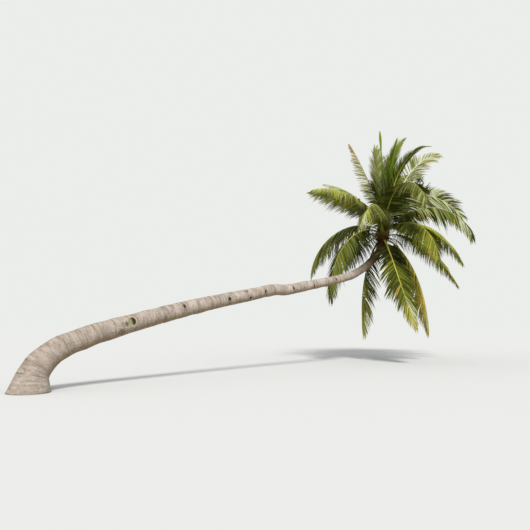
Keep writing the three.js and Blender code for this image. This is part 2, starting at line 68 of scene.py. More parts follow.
# Leaf scars, each a groove with a lip above it, which fades in places round the trunk.
FIRST_SCAR = 0.16
UNSCARRED_TOP = 0.1
SCAR_GAP = (0.125, 0.085)  # length between scars, at the foot and at the top
SCAR_GAP_SPREAD = 0.35
SCAR_WAVE = (0.012, 0.007)  # how far a scar strays along the trunk, once and twice round
LEAST_WAVE = 0.3  # the least of that, as a share
WAVE_FADE = 0.25  # length at each end over which scars straighten
SCAR_DEPTH = (0.0045, 0.009)
SCAR_GROOVE = 0.0055  # half its width
SCAR_LIP = {"high": 0.0035, "above": 0.013, "wide": 0.009}
SCAR_SHADE = 0.011  # half the width of its dark line of painted shade along the groove
SCAR_FADE = {"usual": 0.75, "spread": 0.45, "size": 0.5, "range": (0.15, 1.2)}  # how strong scars are
SCARLESS_FOOT = (0.05, 0.45)  # lengths between which their relief sets in

# Lumps and grain over the trunk.
NOISE_RADIUS = 0.35  # of the round that the noise is laid on
LUMP_HEIGHT = 0.006
LUMP_SIZE = 0.45
GRAIN_HEIGHT = 0.002
GRAIN_SIZE = 0.07
SMOOTH_FOOT = 0.15  # length over which relief sets in at the ground
SMOOTH_TOP = 0.12  # and by which lumps end below the heart
YOUNG_BARK = (3.1, 1.0)  # lengths below the top where young brown bark starts and covers it
UNDERSIDE_STAIN_AND_SHADE = (0.05, -0.75)  # how far bark faces up where the underside's darker ochre tone starts and is full: partly damp staining, partly painted shade

# Climbing notches: how far out they are, their turn up from level on the -Y side, and width.
NOTCHES = [
    (2.56, 20, 0.190), (4.25, 30, 0.110), (5.92, 3, 0.105), (6.81, -29, 0.080),
    (7.47, 4, 0.085), (8.84, 9, 0.075), (9.96, -16, 0.075), (11.25, 12, 0.070),
]
NOTCH_DEPTH = 0.038
NOTCH_MOUTH = (0.55, 0.72)  # half its length and width, as shares of its width
NOTCH_WALL = 2.2  # how steeply its walls fall
NOTCH_SILL = (0.5, 2.4)  # where its lit lower part ends, and how sharply
NOTCH_RIM = 0.5  # how far its healed rim reaches, as a share of its half width
RIM_HEIGHT = 0.004
STAIN_MOUTH = (0.5, 0.95)  # half the length and width of the stain round a small notch, the same way
STAIN_REACH = 2.2  # how many times as far as that the stain's colour reaches
# Shallow brown scrapes, the same way.
SCRAPES = [(2.19, -28, 0.11), (2.38, 12, 0.085), (6.72, 50, 0.06), (9.4, -7, 0.045)]
SCRAPE_DEPTH = 0.006
SCRAPE_EDGE = 2  # how sharply its colour ends

# The heart: the bundle of leaf bases on the trunk's top. Its profile: shares of its length, and radii.
HEART_FOOT = np.array([14.55, 0.0, 4.9])
HEART_TIP = np.array([14.86, 0.0, 6.12])
HEART_LENGTH = float(np.linalg.norm(HEART_TIP - HEART_FOOT))
HEART_AXIS = (HEART_TIP - HEART_FOOT) / HEART_LENGTH
HEART_PROFILE = (0, 0.1, 0.3, 0.55, 0.8, 1), (0.15, 0.2, 0.245, 0.235, 0.19, 0.14)
HEART_RINGS = 64
HEART_COLUMNS = 96
# Its fibrous relief: height, size and stretch of the lumps and of the threads.
HEART_RELIEF = [(0.010, 0.09, (1, 1, 0.3)), (0.004, 0.03, (1, 1, 0.2))]
LOWEST_TIER = 0.08
HIGHEST_TIER = 0.94
FOOT_REACH = 0.6

# Leaf bases, as slabs that leave the petiole and clasp the heart on their way down.
BASE_GRID = (20, 15)
BASE_ABOVE = 0.45  # how far a leaf base reaches up its petiole
BASE_BELOW = 0.26  # and down the heart, as a share of the heart's length
BASE_WIDE = (0.53, 1.03)  # half its width as shares of the petiole's, above and below
BASE_HALF = 0.17  # half its width at its foot
BASE_THICK = 0.012
BASE_THIN = 0.6  # how much thinner its edges are
BASE_ROUND = 0.97  # how round it is across, under the petiole
BASE_CLEAR = 0.003  # and how far it stands clear of it
BASE_OFF = (0.004, 0.03)  # how far it stands off the heart, and how much more its middle does
BASE_WIDENS = 0.6  # share down it by which it is at its widest on the petiole
BASE_LEAVES = 0.3  # share down it where it begins to leave the petiole
BASE_LIES = 0.7  # and where it lies on the heart
BASE_DROPS = 0.35  # and where it begins to run down the heart
ON_HEART = (0.005, 0.99)  # the shares of the heart's length that it keeps to
NEAR_SHARE = 0.3  # the share of a frond that is searched for where it leaves the heart
NEAR_SAMPLES = 90
STUB_TIER = -0.02
STUBS = [  # heading, rise and length of the stubs that fallen fronds left
    (20, 35, 0.34), (58, 55, 0.28), (128, 40, 0.32), (172, 58, 0.26), (196, 20, 0.22), (262, 30, 0.3),
    (290, 55, 0.24), (350, 48, 0.3),
]
STUB_DROOP = 30
STUB_BASE = 0.7  # how far its base reaches up it
STUB_RADIUS = (0.05, 0.026)
STUB_RINGS = 10

# Loose fibres and shreds: how many, their least and most length and half width.
FIBRES = [(900, (0.08, 0.34), (0.001, 0.004)), (170, (0.08, 0.3), (0.005, 0.017))]
FIBRES_FROM = -0.18  # where the lowest fibres start, as a share of the heart's length
FIBRES_CROWD = 1.4  # how much more of them there are low down
FIBRE_STEPS = 5
FIBRE_ROOT = 0.98  # how far out in the heart they start
FIBRE_TURN = 0.5  # how unevenly they face
FIBRE_WAY = ((0.15, 0.9), 0.7, 0.6)  # how far they point out, and spread round the heart and along it
FIBRE_HANG = (0.4, 1.3)
FIBRE_TAPER = 0.85

# The fronds, youngest first, placed as in the solids. tier: 0 for the oldest and 1 for the youngest.
# heading: compass of the foot from +X. rise and fall: slope at foot and tip. bend: under 1 where it
# droops early. rib: its rib's colour. base, middle and end: the leaflets' colours near the heart, half
# way and by the tip. Then what differs from the usual. swing: how far it veers by its tip. roll: how far
# its blade twists. open: how far its leaflets have spread. leaf and wide: their length and width beside
# the usual. lift: how far they stand above the blade's plane. sag: how far they hang. twist: how far
# their upper edge is turned up. keep: share of them left on each side. dry: share with a withered point.
# far: other colours for one of the frond's sides.
FROND_COLUMNS = ("tier", "heading", "rise", "fall", "bend", "length", "rib", "base", "middle", "end")
FROND_ROWS = [
    (1.0, 300, 88, 71, 1.5, 3.5, "green", "green deep", "bright fresh", "fresh bright",
     dict(roll=55, open=0.38, leaf=1.1, far=dict(middle="grey sage bright", end="fresh bright"))),
    (0.98, 344, 85, 38, 2.4, 4.05, "green", "deep green", "fresh bright", "lime", dict(roll=45, open=0.46)),
    (0.95, 60, 77, 82, 1.2, 3.5, "green", "deep green", "grey sage", "grey sage", dict(open=0.8, leaf=1.2)),
    (0.86, 257, 74, -22, 2.1, 4.05, "yellow", "deep green", "bright green olive", "lime bright",
     dict(open=0.46, leaf=0.85)),
    (0.86, 38, 66, 0, 1.2, 4.2, "green", "shade", "deep", "green", dict(sag=0.6)),
    (0.82, 82, 71, 56, 1.1, 4.5, "brown", "deep green", "grey sage pale", "pale brown straw",
     dict(leaf=0.58, lift=-32, keep=(0.85, 0.35), dry=0.5)),
    (0.8, 331, 67, -2, 2.2, 4.75, "pale", "green grey", "sage pale grey", "pale brown sage",
     dict(swing=12, roll=60, leaf=0.85, keep=(0.6, 0.75), dry=0.15)),
    (0.76, 8, 68, -24, 1.6, 5.0, "yellow", "shade deep", "bright olive", "green olive",
     dict(swing=-10, sag=0.8)),
    (0.7, 95, 54, 12, 1.3, 4.0, "green", "deep green", "grey sage pale", "sage pale",
     dict(swing=-10, lift=-10, leaf=0.85)),
    (0.68, 239, 80, -77, 0.95, 4.7, "yellow", "deep green", "green olive grey", "grey green sage",
     dict(lift=-20)),
    (0.62, 134, 50, 0, 1.0, 3.6, "green", "shade deep", "deep green", "green olive", dict(lift=-10)),
    (0.58, 343, 76, -53, 0.86, 5.5, "pale", "deep grey", "deep pale green sage", "green pale sage deep",
     dict(swing=-12, roll=85, leaf=1.15)),
    (0.54, 165, 62, -22, 0.75, 4.5, "yellow", "grey hay", "sage hay lime", "sage pale lime",
     dict(swing=20, lift=-28, wide=1.2)),
    (0.5, 12, 50, -50, 1.1, 4.7, "green", "shade deep", "deep green", "green grey", dict(sag=0.8)),
    (0.5, 282, 42, -80, 1.2, 4.4, "pale", "deep green", "deep green grey sage", "deep green pale sage",
     dict(lift=-15, roll=20, leaf=1.1, wide=1.35, sag=0.75)),
    (0.45, 5, 34, -58, 1.0, 4.5, "green", "deep shade", "green deep", "green olive", dict()),
    (0.42, 115, 42, -86, 0.72, 4.35, "green", "deep green olive", "olive grey sage", "hay sage",
     dict(swing=12, lift=-30)),
    (0.34, 334, 63, -63, 0.54, 4.9, "yellow", "olive hay", "lime hay sage", "lime pale",
     dict(lift=-25, leaf=0.72)),
    (0.33, 255, 23, -90, 1.2, 3.9, "yellow", "green deep", "green olive", "olive hay",
     dict(swing=-5, lift=-22, leaf=1.25, wide=1.25, sag=0.35)),
    (0.28, 62, 20, -50, 0.8, 4.2, "green", "deep shade", "deep", "green", dict(leaf=1.15)),
    (0.24, 160, 87, -93, 0.33, 4.65, "yellow", "deep green", "green olive grey", "olive green",
     dict(lift=-16, wide=1.25)),
    (0.2, 208, 73, -70, 0.85, 4.2, "yellow", "olive green", "sage grey hay", "sage pale lime",
     dict(swing=-34, lift=-35)),
    (0.16, 342, 40, -58, 0.45, 5.05, "green", "green olive", "hay olive lime", "lime straw hay",
     dict(swing=-6, lift=-25, leaf=0.58)),
    (0.1, 234, -37, -71, 0.5, 4.65, "yellow", "shade shade deep", "olive deep green green",
     "pale lime straw",
     dict(swing=38, open=0.85, leaf=0.92, lift=-4, sag=0.25, twist=-14, wide=1.3, dry=0.1)),
    (0.06, 323, 12, -89, 0.3, 4.75, "yellow", "olive hay lime", "gold lime gold", "gold pale lime gold",
     dict(lift=-42, leaf=0.85, twist=-14, wide=1.15, dry=0.15)),
    (0, 97, -24, -96, 0.32, 4.4, "green", "green deep", "olive green hay", "lime sage pale hay",
     dict(lift=-42, leaf=0.9, keep=(0.66, 0.66))),
]
FRONDS = [dict(zip(FROND_COLUMNS, row), **more) for *row, more in FROND_ROWS]
LINE_STEPS = 240  # short straight steps that a frond's curve is added up from
RIB_SHARE = 0.94
PETIOLE_SHARE = 0.2
FOOT_WIDTH = (0.120, 0.070)  # a rib's width at its foot, on the oldest and on the youngest frond
RIB_WIDTH = (0.058, 0.012)  # and at the first leaflet and at its end
RIB_DEPTH_SHARE = 0.6
RIB_TOP = 0.4
RIB_RINGS = 76
RIB_SIDES = 12
GROOVE_DEPTH = 0.8  # how far the petiole's upper side is hollowed, as a share of its height
GROOVE_WIDTH = 0.45
GROOVE_ENDS = 0.3  # the share of the rib by which the hollow ends
FIRST_AT = 0.1  # the first leaflet's share of the rib
LEAFLET_GAP = 0.026  # between leaflets on one side of a rib
LEAFLET_STRAY = 0.3  # how far one strays from its place, as a share of the gap
LEAFLET_ROOT = (0.42, 0.08)  # how far out and up on the rib it starts, as shares of the rib's width
LEAFLET_LENGTH = 0.21
LEAFLET_WIDTH = 0.051
FULL_WIDTH_AT = 0.9  # length of a leaflet that is as wide as that
WIDTH_RANGE = (0.3, 1.15)
LEAFLET_STEPS = 8
LEAFLET_OUTLINE = (0, 0.08, 0.25, 0.5, 0.75, 0.9, 1), (0.5, 0.85, 1, 0.86, 0.52, 0.25, 0)
LEAFLET_FOLD = 20  # degrees that a leaflet's halves hang from its midrib
YOUNG_FOLD = 62  # and on a frond that hasn't opened
OPENING = (0.2, 0.8)  # how open a frond is when its leaflets begin to flatten, and when they have
LEAFLET_TWIST = 16  # degrees that a leaflet's upper edge is turned up
LEAFLET_SWEEP = 0.06  # how far its point bends towards the frond's tip
LEAFLET_LIMP = 0.25  # how much more its end hangs than its middle
ON_EDGE = 0.5  # the leaflets of a frond that is less open lie on edge, as in the bud
FIRST_LEAFLET = 0.55
FULL_FROM = 0.35
FULL_TO = 0.45
TIP_LOSS = 0.72
TIP_LOSS_BEND = 1.5
SPLAY = (74, 20)
SPLAY_BEND = 1.4
LIFT = (-24, 34)
SAG = (0.8, 0.3)
SAG_RANGE = (0.3, 2)
CLUMPS = 13  # bunches of leaflets along one side of a rib
SPREAD = {  # how much leaflets differ, by bunch and one by one
    "lift": (3.5, 5), "splay": (2.5, 3), "length": (0.06, 0.08), "sag": (0.12, 0.13), "twist": (6, 9),
}
FREE_SPLAY = 1.3  # leaflets stray in splay by this times how open their frond is, or in full
SPRAY = 2  # neighbouring leaflets that have one colour
SPRAY_STRAY = 0.2  # how far colours mix along the frond
WITHERED_RINGS = 3  # rings of a leaflet's point that withers
DRY = 0.04  # usual share of leaflets with a withered point

# The spear: the youngest leaf, still rolled up. Its profile: shares of its length, and radii.
SPEAR_LENGTH = 3.64
SPEAR_PROFILE = (
    (0, 0.3, 0.62, 0.76, 0.85, 0.92, 0.97, 1), (0.052, 0.046, 0.034, 0.026, 0.05, 0.056, 0.034, 0.008),
)
SPEAR_SUNK = 0.06  # how deep its foot stands in the heart
SPEAR_TILT = -4.5
SPEAR_RINGS = 90
SPEAR_SIDES = 36
SPEAR_PLEATS = 9
SPEAR_PLEAT_DEPTH = 0.22
SPEAR_TWIST = 5
SPEAR_FACES = -45  # compass of its broad side
SPEAR_FLAT = (0.35, 0.7, 0.9)  # how much flatter its tip is, and over which shares of its length

# Flower stalks below the fronds.
STALKS = {
    "flower_stalk_1": dict(heading=272, rise=5, fall=-70, length=0.76, sprigs=7, kind="dry"),
    "flower_stalk_2": dict(heading=300, rise=12, fall=-62, length=0.82, sprigs=7, kind="dry"),
    "flower_stalk_3": dict(heading=150, rise=10, fall=-68, length=0.80, sprigs=8, kind="fresh"),
}
STALK_TIER = 0.06
STALK_RADIUS = (0.020, 0.007)
STALK_RINGS = 24
SPRIG_PLACES = (0.4, 0.95)
SPRIG_SPREAD = 0.75
SPRIG_DROP = 0.2
SPRIG_SAG = 0.8
SPRIG_RADIUS = np.array([0.007, 0.0035])
SPRIG_LENGTH = 0.36
SPRIG_RINGS = 12
FINE_LENGTH = 0.8  # every other sprig is finer
FINE_RADIUS = 0.6

# Colours, as screen values from 0 to 255. Leaflets and ribs:
# bright and lime leaflets are partly their own yellow-green and partly painted glow of light through backlit
# leaflets
# grey, pale and sage leaflets are partly their own paler tones and partly painted sheen of the sky on glossy
# leaflets
LEAF_COLOURS = {
    "shade": (34, 38, 12), "deep": (54, 60, 18), "green": (76, 84, 24), "olive": (100, 102, 32),
    "grey": (100, 106, 56), "bright": (108, 126, 36), "lime": (150, 154, 58), "straw": (146, 126, 62),
    "brown": (114, 92, 58), "pale": (160, 164, 134), "fresh": (104, 130, 28),
    "hay": (132, 131, 50), "sage": (138, 142, 88), "gold": (188, 160, 66),
}
LEAF_CHANGE = 0.12  # how much a colour changes over the crown
WITHERED = {"brown": "brown", "straw": "brown", "lime": "straw", "pale": "brown", "gold": "brown"}
RIB_COLOURS = {
    "yellow": (176, 170, 62), "green": (108, 122, 50), "pale": (188, 190, 160), "brown": (122, 92, 62),
}
RIB_ROOT = (96, 102, 40)  # a pale or brown rib by the heart
RIB_END = (118, 114, 36)  # and a yellow one towards its tip
FRECKLES = (84, 66, 38)
BASE_COLOUR = (106, 112, 36)
BASE_FOOT = (64, 43, 18)
EDGE_SHADE = 0.6  # how dark a leaf base's withered edges are beside its foot
SPEAR_COLOUR = (104, 122, 30)
SPEAR_FOOT = (64, 74, 34)
FRESH_STALK = (150, 146, 62)
# Fibres: their darkest and lightest.
FIBRE_COLOURS = {
    "heart_fibre": ((22, 11, 2), (84, 50, 14)), "base_brown": ((28, 16, 4), (92, 58, 18)),
    "fibre": ((24, 13, 3), (96, 62, 18)), "stalk_dry": ((50, 36, 24), (112, 86, 54)),
}
# The bark's colours that run from one to another: along its bands, with its age, or in its notches. shadow
# is painted shade in cracks and scars, ochre is partly damp staining and partly painted shade below, and
# hollow is painted shade in a notch running to painted light on its sill.
BARK_PAIRS = {
    "old": ((134, 123, 114), (178, 168, 161)), "young": ((50, 34, 12), (86, 66, 30)),
    "dark": ((94, 80, 66), (36, 24, 14)), "light": ((172, 161, 154), (112, 90, 54)),
    "shadow": ((82, 69, 56), (30, 19, 11)), "ochre": ((158, 136, 96), (104, 84, 50)),
    "hollow": ((42, 34, 14), (130, 128, 98)),
}
# mottling: spots on the underside, partly damp staining and partly painted shade
BARK_TONES = {
    "low": (118, 106, 98), "stain": (118, 108, 84), "mottling": (112, 88, 50), "top": (40, 27, 10),
    "scrape": (70, 53, 32), "rim": (156, 152, 120),
}

# The camera and the light, in the photograph's view.
CAMERA_AT = (-5.368, -12.990, 1.6)
CAMERA_TURN = (95.8, 0, -45)
FOCAL_PIXELS = 560
FRAME_PIXELS = 530
SENSOR = 36
FARTHEST = 500
SUN_FROM = (-0.5, -0.62, 0.78)
SUN_STRENGTH = 4.0
SUN_ANGLE = 14
SUN_COLOUR = (1, 0.97, 0.9)
SKY = (235, 237, 234)
FLOOR_HALF = 150
FLOOR_DROP = 0.002
FLOOR_COLOUR = (0.49, 0.498, 0.511, 1)


def mix(low, high, share):
    return low + (high - low) * share


def unit(vectors):
    return vectors / np.linalg.norm(vectors, axis=-1, keepdims=True)


def smooth(share):
    share = np.clip(share, 0, 1)
    return share * share * (3 - 2 * share)


def ramp(value, start, end):
    """0 before the start, 1 after the end and smooth between them."""
    return smooth((value - start) / (end - start))


def hill(value, half):
    """1 at 0, and soon 0 beyond half its width."""
    return np.exp(-(value / half) ** 2)


def shares(count):
    """Even shares from 0 to 1."""
    return np.linspace(0, 1, count)


def stacked(*parts):
    """Parts of any matching shapes as the last axis of one array."""
    return np.stack(np.broadcast_arrays(*parts), -1)


def rows_at(values, places, rows):
    """The rows at some values, drawn between rows that stand at given places."""
    return np.stack([np.interp(values, places, column) for column in rows.T], -1)


def level(heading):
    """A level direction from its compass heading in degrees."""
    turn = np.radians(heading)
    return np.stack([np.cos(turn), np.sin(turn), np.zeros_like(turn)], -1)


def around(turn, start, over):
    """Directions at some turns in radians, counted from one direction towards another."""
    return np.cos(turn)[..., None] * start + np.sin(turn)[..., None] * over


def turned(start, over, angle):
    """Two square directions after a turn from one towards the other."""
    return start * np.cos(angle) + over * np.sin(angle), over * np.cos(angle) - start * np.sin(angle)


def linear(colour):
    """A shader colour from screen values."""
    part = np.array(colour) / 255
    return (*np.where(part <= 0.04045, part / 12.92, ((part + 0.055) / 1.055) ** 2.4), 1)


def soft_noise(points, size, seed, waves=9):
    """A smooth, seeded noise of about -1 to 1 whose lumps have a given size."""
    rng = np.random.default_rng(seed)
    total = np.zeros(points.shape[:-1])
    for _ in range(waves):
        way = unit(rng.normal(size=3)) * 2 * math.pi / (size * rng.uniform(*NOISE_SIZES))
        total += np.sin(points @ way + rng.uniform(0, 2 * math.pi))
    return total / math.sqrt(waves)


def tube_faces(rings, sides):
    """Quads of a skin over equal closed rings, and triangles that close its ends."""
    i, j = np.meshgrid(np.arange(rings - 1), np.arange(sides), indexing="ij")
    a, b = i * sides + j, i * sides + (j + 1) % sides
    quads = np.stack([a, b, b + sides, a + sides], -1).reshape(-1, 4)
    last = (rings - 1) * sides
    ends = [(0, n + 1, n) for n in range(1, sides - 1)]
    ends += [(last, last + n, last + n + 1) for n in range(1, sides - 1)]
    return quads, ends


def placed(name, data):
    """A new object in the scene."""
    made = bpy.data.objects.new(name, data)
    bpy.context.scene.collection.objects.link(made)
    return made


class Skin:
    """Points and faces of one piece, gathered part by part."""

    def __init__(self):
        self.points, self.uvs, self.quads, self.tris, self.ridges = [], [], [], [], []
        self.fields = {}
        self.size = 0
        self.owners = set()

    def add(self, points, quads, tris=(), uvs=None, ridges=None, owner=None, fields=None):
        """Adds a part: its points, its faces as places in them, and what each point carries."""
        points = np.asarray(points, float).reshape(-1, 3)
        count = len(points)
        self.points.append(points)
        self.quads.append(np.asarray(quads, int).reshape(-1, 4) + self.size)
        self.tris.append(np.asarray(tris, int).reshape(-1, 3) + self.size)
        self.uvs.append(np.zeros((count, 2)) if uvs is None else np.reshape(uvs, (-1, 2)))
        self.ridges.append(np.zeros(count, bool) if ridges is None else np.ravel(ridges))
        for name, values in (fields or {}).items():
            self.fields.setdefault(name, []).append(values.reshape(count, -1))
        self.size += count
        if owner:
            self.owners.add(owner)

    def add_tube(self, rings, turn=0, along=0, **carried):
        """Adds a closed skin over rings of points, with their turns in radians and places along it."""
        quads, ends = tube_faces(*rings.shape[:2])
        uvs = stacked(0 * rings[..., 0] + turn / (2 * math.pi), along)
        self.add(rings, quads, ends, uvs, **carried)

    def build(self, name, finish, slot):
        """Makes the piece, which rides on the palm's body and replaces its owners."""
        lists = self.points, self.quads, self.tris, self.uvs, self.ridges
        points, quads, tris, uvs, ridges = map(np.concatenate, lists)
        mesh = bpy.data.meshes.new(name)
        mesh.from_pydata(points, [], [*quads.tolist(), *tris.tolist()], shade_flat=False)
        corners = np.concatenate([quads.ravel(), tris.ravel()])
        mesh.uv_layers.new(name="UVMap").data.foreach_set("uv", uvs[corners].astype(np.float32).ravel())
        ends = np.zeros(len(mesh.edges) * 2, np.int32)
        mesh.edges.foreach_get("vertices", ends)
        sharp = mesh.attributes.new("sharp_edge", "BOOLEAN", "EDGE")
        sharp.data.foreach_set("value", ridges[ends.reshape(-1, 2)].all(1))
        for field, parts in self.fields.items():
            values = np.concatenate(parts).astype(np.float32)
            kind, key = ("FLOAT_VECTOR", "vector") if values.shape[1] == 3 else ("FLOAT", "value")
            mesh.attributes.new(field, kind, "POINT").data.foreach_set(key, values.ravel())
        mesh.materials.append(finish)
        piece = placed(name, mesh)
        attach(piece, BODY)
        if self.owners:
            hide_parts(*sorted(self.owners))


def shade(colour, by):
    """A shader colour made darker or lighter."""
    return (*(min(1.0, part * by) for part in colour[:3]), 1)


class Finish:
    """A new material: makes its nodes and sets its main shader."""

    def __init__(self, name):
        self.material = bpy.data.materials.new(name)
        self.material.use_nodes = True
        self.tree = self.material.node_tree

    def feed(self, node, inputs):
        """Links a node's inputs to sockets or sets them to values."""
        for key, value in inputs.items():
            if isinstance(value, bpy.types.NodeSocket):
                self.tree.links.new(value, node.inputs[key])
            else:
                node.inputs[key].default_value = value

    def make(self, kind, inputs, **settings):
        made = self.tree.nodes.new("ShaderNode" + kind)
        for key, value in settings.items():
            setattr(made, key, value)
        self.feed(made, inputs)
        return made

    def place(self):
        """Places on the object, in metres."""
        return self.make("TexCoord", {}).outputs["Object"]

    def along(self):
        """Places across a leaf or round a limb in X, and along it in Y."""
        return self.make("UVMap", {}, uv_map="UVMap").outputs[0]

    def field(self, name, output="Fac"):
        return self.make("Attribute", {}, attribute_name=name).outputs[output]

    def axis(self, vector, name):
        return self.make("SeparateXYZ", {0: vector}).outputs[name]

    def maths(self, operation, *inputs):
        return self.make("Math", dict(enumerate(inputs)), operation=operation).outputs[0]

    def noise(self, vector, scale, detail, rough=0.5):
        """Noise from 0 to 1. scale: one number, or one for each axis."""
        if isinstance(scale, tuple):
            vector = self.make("Mapping", {"Vector": vector, "Scale": scale}).outputs[0]
            scale = 1
        inputs = {"Vector": vector, "Scale": scale, "Detail": detail, "Roughness": rough}
        return self.make("TexNoise", inputs).outputs[0]

    def scaled(self, socket, low, high, to_low=0.0, to_high=1.0):
        """A socket's range from low to high, stretched to another and held there."""
        inputs = {0: socket, 1: low, 2: high, 3: to_low, 4: to_high}
        return self.make("MapRange", inputs).outputs[0]

    def blended(self, share, low, high):
        """A colour between two colours or sockets."""
        return self.make("Mix", {0: share, 6: low, 7: high}, data_type="RGBA").outputs[2]

    def layered(self, colour, layers):
        """A colour under others. Each has what shows it, over which range, how strongly, and its tone."""
        for shows, reach, strength, tone in layers:
            colour = self.blended(self.scaled(shows, *reach, *strength), colour, tone)
        return colour

    def bumped(self, height, strength, distance, **under):
        inputs = {"Height": height, "Strength": strength, "Distance": distance, **under}
        return self.make("Bump", inputs).outputs[0]

    def done(self, colour, rough, gloss, **normal):
        """Sets the main shader and gives the material."""
        inputs = {"Base Color": colour, "Roughness": rough, "Specular IOR Level": gloss, **normal}
        self.feed(self.tree.nodes["Principled BSDF"], inputs)
        return self.material


def leaf_finish(name, colour, rough=0.5, veins_across=11, foot=None):
    """A leaf's finish: veins along it, and a slight change of tone. foot: colour of a spear's foot."""
    finish = Finish(name)
    base = linear(colour)
    along = finish.along()
    patches = finish.noise(finish.place(), 1.6, 3)
    inputs = {"Vector": along, "Scale": veins_across, "Distortion": 0.6, "Detail": 1}
    veins = finish.make("TexWave", inputs, bands_direction="X").outputs["Fac"]
    dark, light = shade(base, 1 - LEAF_CHANGE), shade(base, 1 + LEAF_CHANGE)
    tone = finish.blended(finish.scaled(patches, 0.35, 0.65), dark, light)
    layers = [(veins, (0, 1), (0, 0.22), shade(base, 0.55))]
    if foot:
        layers.append((finish.axis(along, "Y"), (1.6, 2.5), (1, 0), linear(foot)))
    return finish.done(finish.layered(tone, layers), rough, 0.05, Normal=finish.bumped(veins, 0.35, 0.003))


def rib_finish(name, colour, foot=None, root=None, end=None):
    """A rib's finish: smooth, streaked and freckled.

    foot: the withered foot and edges of a leaf base. root and end: other colours of a rib by the heart
    and by its tip.
    """
    finish = Finish(name)
    base = linear(colour)
    along = finish.along()
    out = finish.axis(along, "Y")
    streaks = finish.noise(along, (26, 3, 1), 4)
    freckles = finish.noise(finish.place(), 60, 3)
    tone = finish.blended(finish.scaled(streaks, 0.3, 0.7), shade(base, 0.72), shade(base, 1.15))
    layers = [(freckles, (0.6, 0.72), (0, 0.5), linear(FRECKLES))]
    if end:
        layers.insert(0, (out, (1.8, 4.2), (0, 0.85), linear(end)))
    if root:
        layers.insert(0, (out, (0.5, 1.6), (1, 0), linear(root)))
    if foot:
        off = finish.maths("ABSOLUTE", finish.maths("SUBTRACT", finish.axis(along, "X"), 0.5))
        edge = linear([EDGE_SHADE * part for part in foot])
        layers.append((out, (0.3, 0.75), (0, 0.95), linear(foot)))
        layers.append((off, (0.3, 0.46), (0, 0.9), edge))
    colour = finish.layered(tone, layers)
    return finish.done(colour, 0.42, 0.08 if foot else 0.3, Normal=finish.bumped(streaks, 0.3, 0.003))


def fibre_finish(name, rough=0.9):
    """A matt finish of fibres that run up and down."""
    finish = Finish(name)
    place = finish.place()
    threads = finish.noise(place, (60, 60, 6), 6, 0.65)
    both = finish.maths("MULTIPLY", threads, finish.noise(place, 7, 3))
    colour = finish.blended(finish.scaled(both, 0.14, 0.38), *map(linear, FIBRE_COLOURS[name]))
    return finish.done(colour, rough, 0.05, Normal=finish.bumped(threads, 0.8, 0.01))


def bark_finish():
    """Weathered bark: grey and pinkish, mottled, ringed by scars, ochre below and brown by the crown.
    Painted shade darkens scars, cracks, notches and, with damp staining, the underside; painted light
    brightens notch sills.
    """
    finish = Finish("bark")
    unbent, place = finish.field("unbent", "Vector"), finish.place()
    young, under = finish.field("young"), finish.field("under")
    cracks = finish.noise(unbent, (11, 11, 60), 5, 0.6)
    bands = finish.noise(unbent, (2.5, 2.5, 14), 6, 0.7)
    speckle = finish.noise(place, 26, 6, 0.8)
    stains = finish.noise(place, 5, 6, 0.7)

    def between(share, name):
        return finish.blended(share, *map(linear, BARK_PAIRS[name]))

    shadow = between(young, "shadow")
    mottled = finish.maths("MULTIPLY", under, finish.scaled(speckle, 0.48, 0.6))
    scraped = finish.maths("MULTIPLY", finish.field("scrape"), finish.scaled(speckle, 0.32, 0.5))
    tones = {name: linear(colour) for name, colour in BARK_TONES.items()}
    colour = finish.layered(between(finish.scaled(bands, 0.38, 0.62), "old"), [
        (finish.axis(unbent, "Z"), (2, 8), (0.3, 0), tones["low"]),
        (stains, (0.5, 0.7), (0, 0.5), tones["stain"]),
        (young, (0, 1), (0, 0.94), between(finish.scaled(bands, 0.35, 0.65), "young")),
        (speckle, (0.53, 0.68), (0, 0.65), between(young, "dark")),
        (speckle, (0.3, 0.45), (0.5, 0), between(young, "light")),
        # painted shade in the cracks and along the scars' grooves
        (cracks, (0.57, 0.68), (0, 0.65), shadow),
        (finish.field("scar"), (0, 1), (0, 0.5), shadow),
        # the underside: darker ochre and mottling, partly damp staining and partly painted shade
        (under, (0, 1), (0, 0.5), between(finish.scaled(cracks, 0.4, 0.62), "ochre")),
        (mottled, (0, 0.6), (0, 0.7), tones["mottling"]),
        (young, (0.7, 1), (0, 0.5), tones["top"]),
        (scraped, (0, 1), (0, 0.8), tones["scrape"]),
        (finish.field("rim"), (0, 1), (0, 0.35), tones["rim"]),
        # painted shade inside a notch, running to painted light on its lower sill
        (finish.field("hollow"), (0.05, 0.4), (0, 0.97), between(finish.field("sill"), "hollow")),
    ])
    cracked = finish.bumped(cracks, 0.7, 0.008)
    return finish.done(colour, 0.88, 0.1, Normal=finish.bumped(speckle, 0.7, 0.006, Normal=cracked))


def curve_through(places, count):
    """Points evenly in t on the centripetal Catmull-Rom curve through some places."""
    ends = [2 * places[0] - places[1], *places, 2 * places[-1] - places[-2]]
    made = []
    for t in np.linspace(0, len(places) - 1, count):
        i = min(int(t), len(places) - 2)
        a, b, c, d = ends[i:i + 4]
        ab, bc, cd = (np.linalg.norm(q - p) ** 0.5 for p, q in ((a, b), (b, c), (c, d)))
        leave = ((b - a) / ab - (c - a) / (ab + bc) + (c - b) / bc) * bc
        arrive = ((c - b) / bc - (d - b) / (bc + cd) + (d - c) / cd) * bc
        t -= i
        made.append(b + leave * t + (3 * (c - b) - 2 * leave - arrive) * t * t
                    + (2 * (b - c) + leave + arrive) * t ** 3)
    return np.array(made)


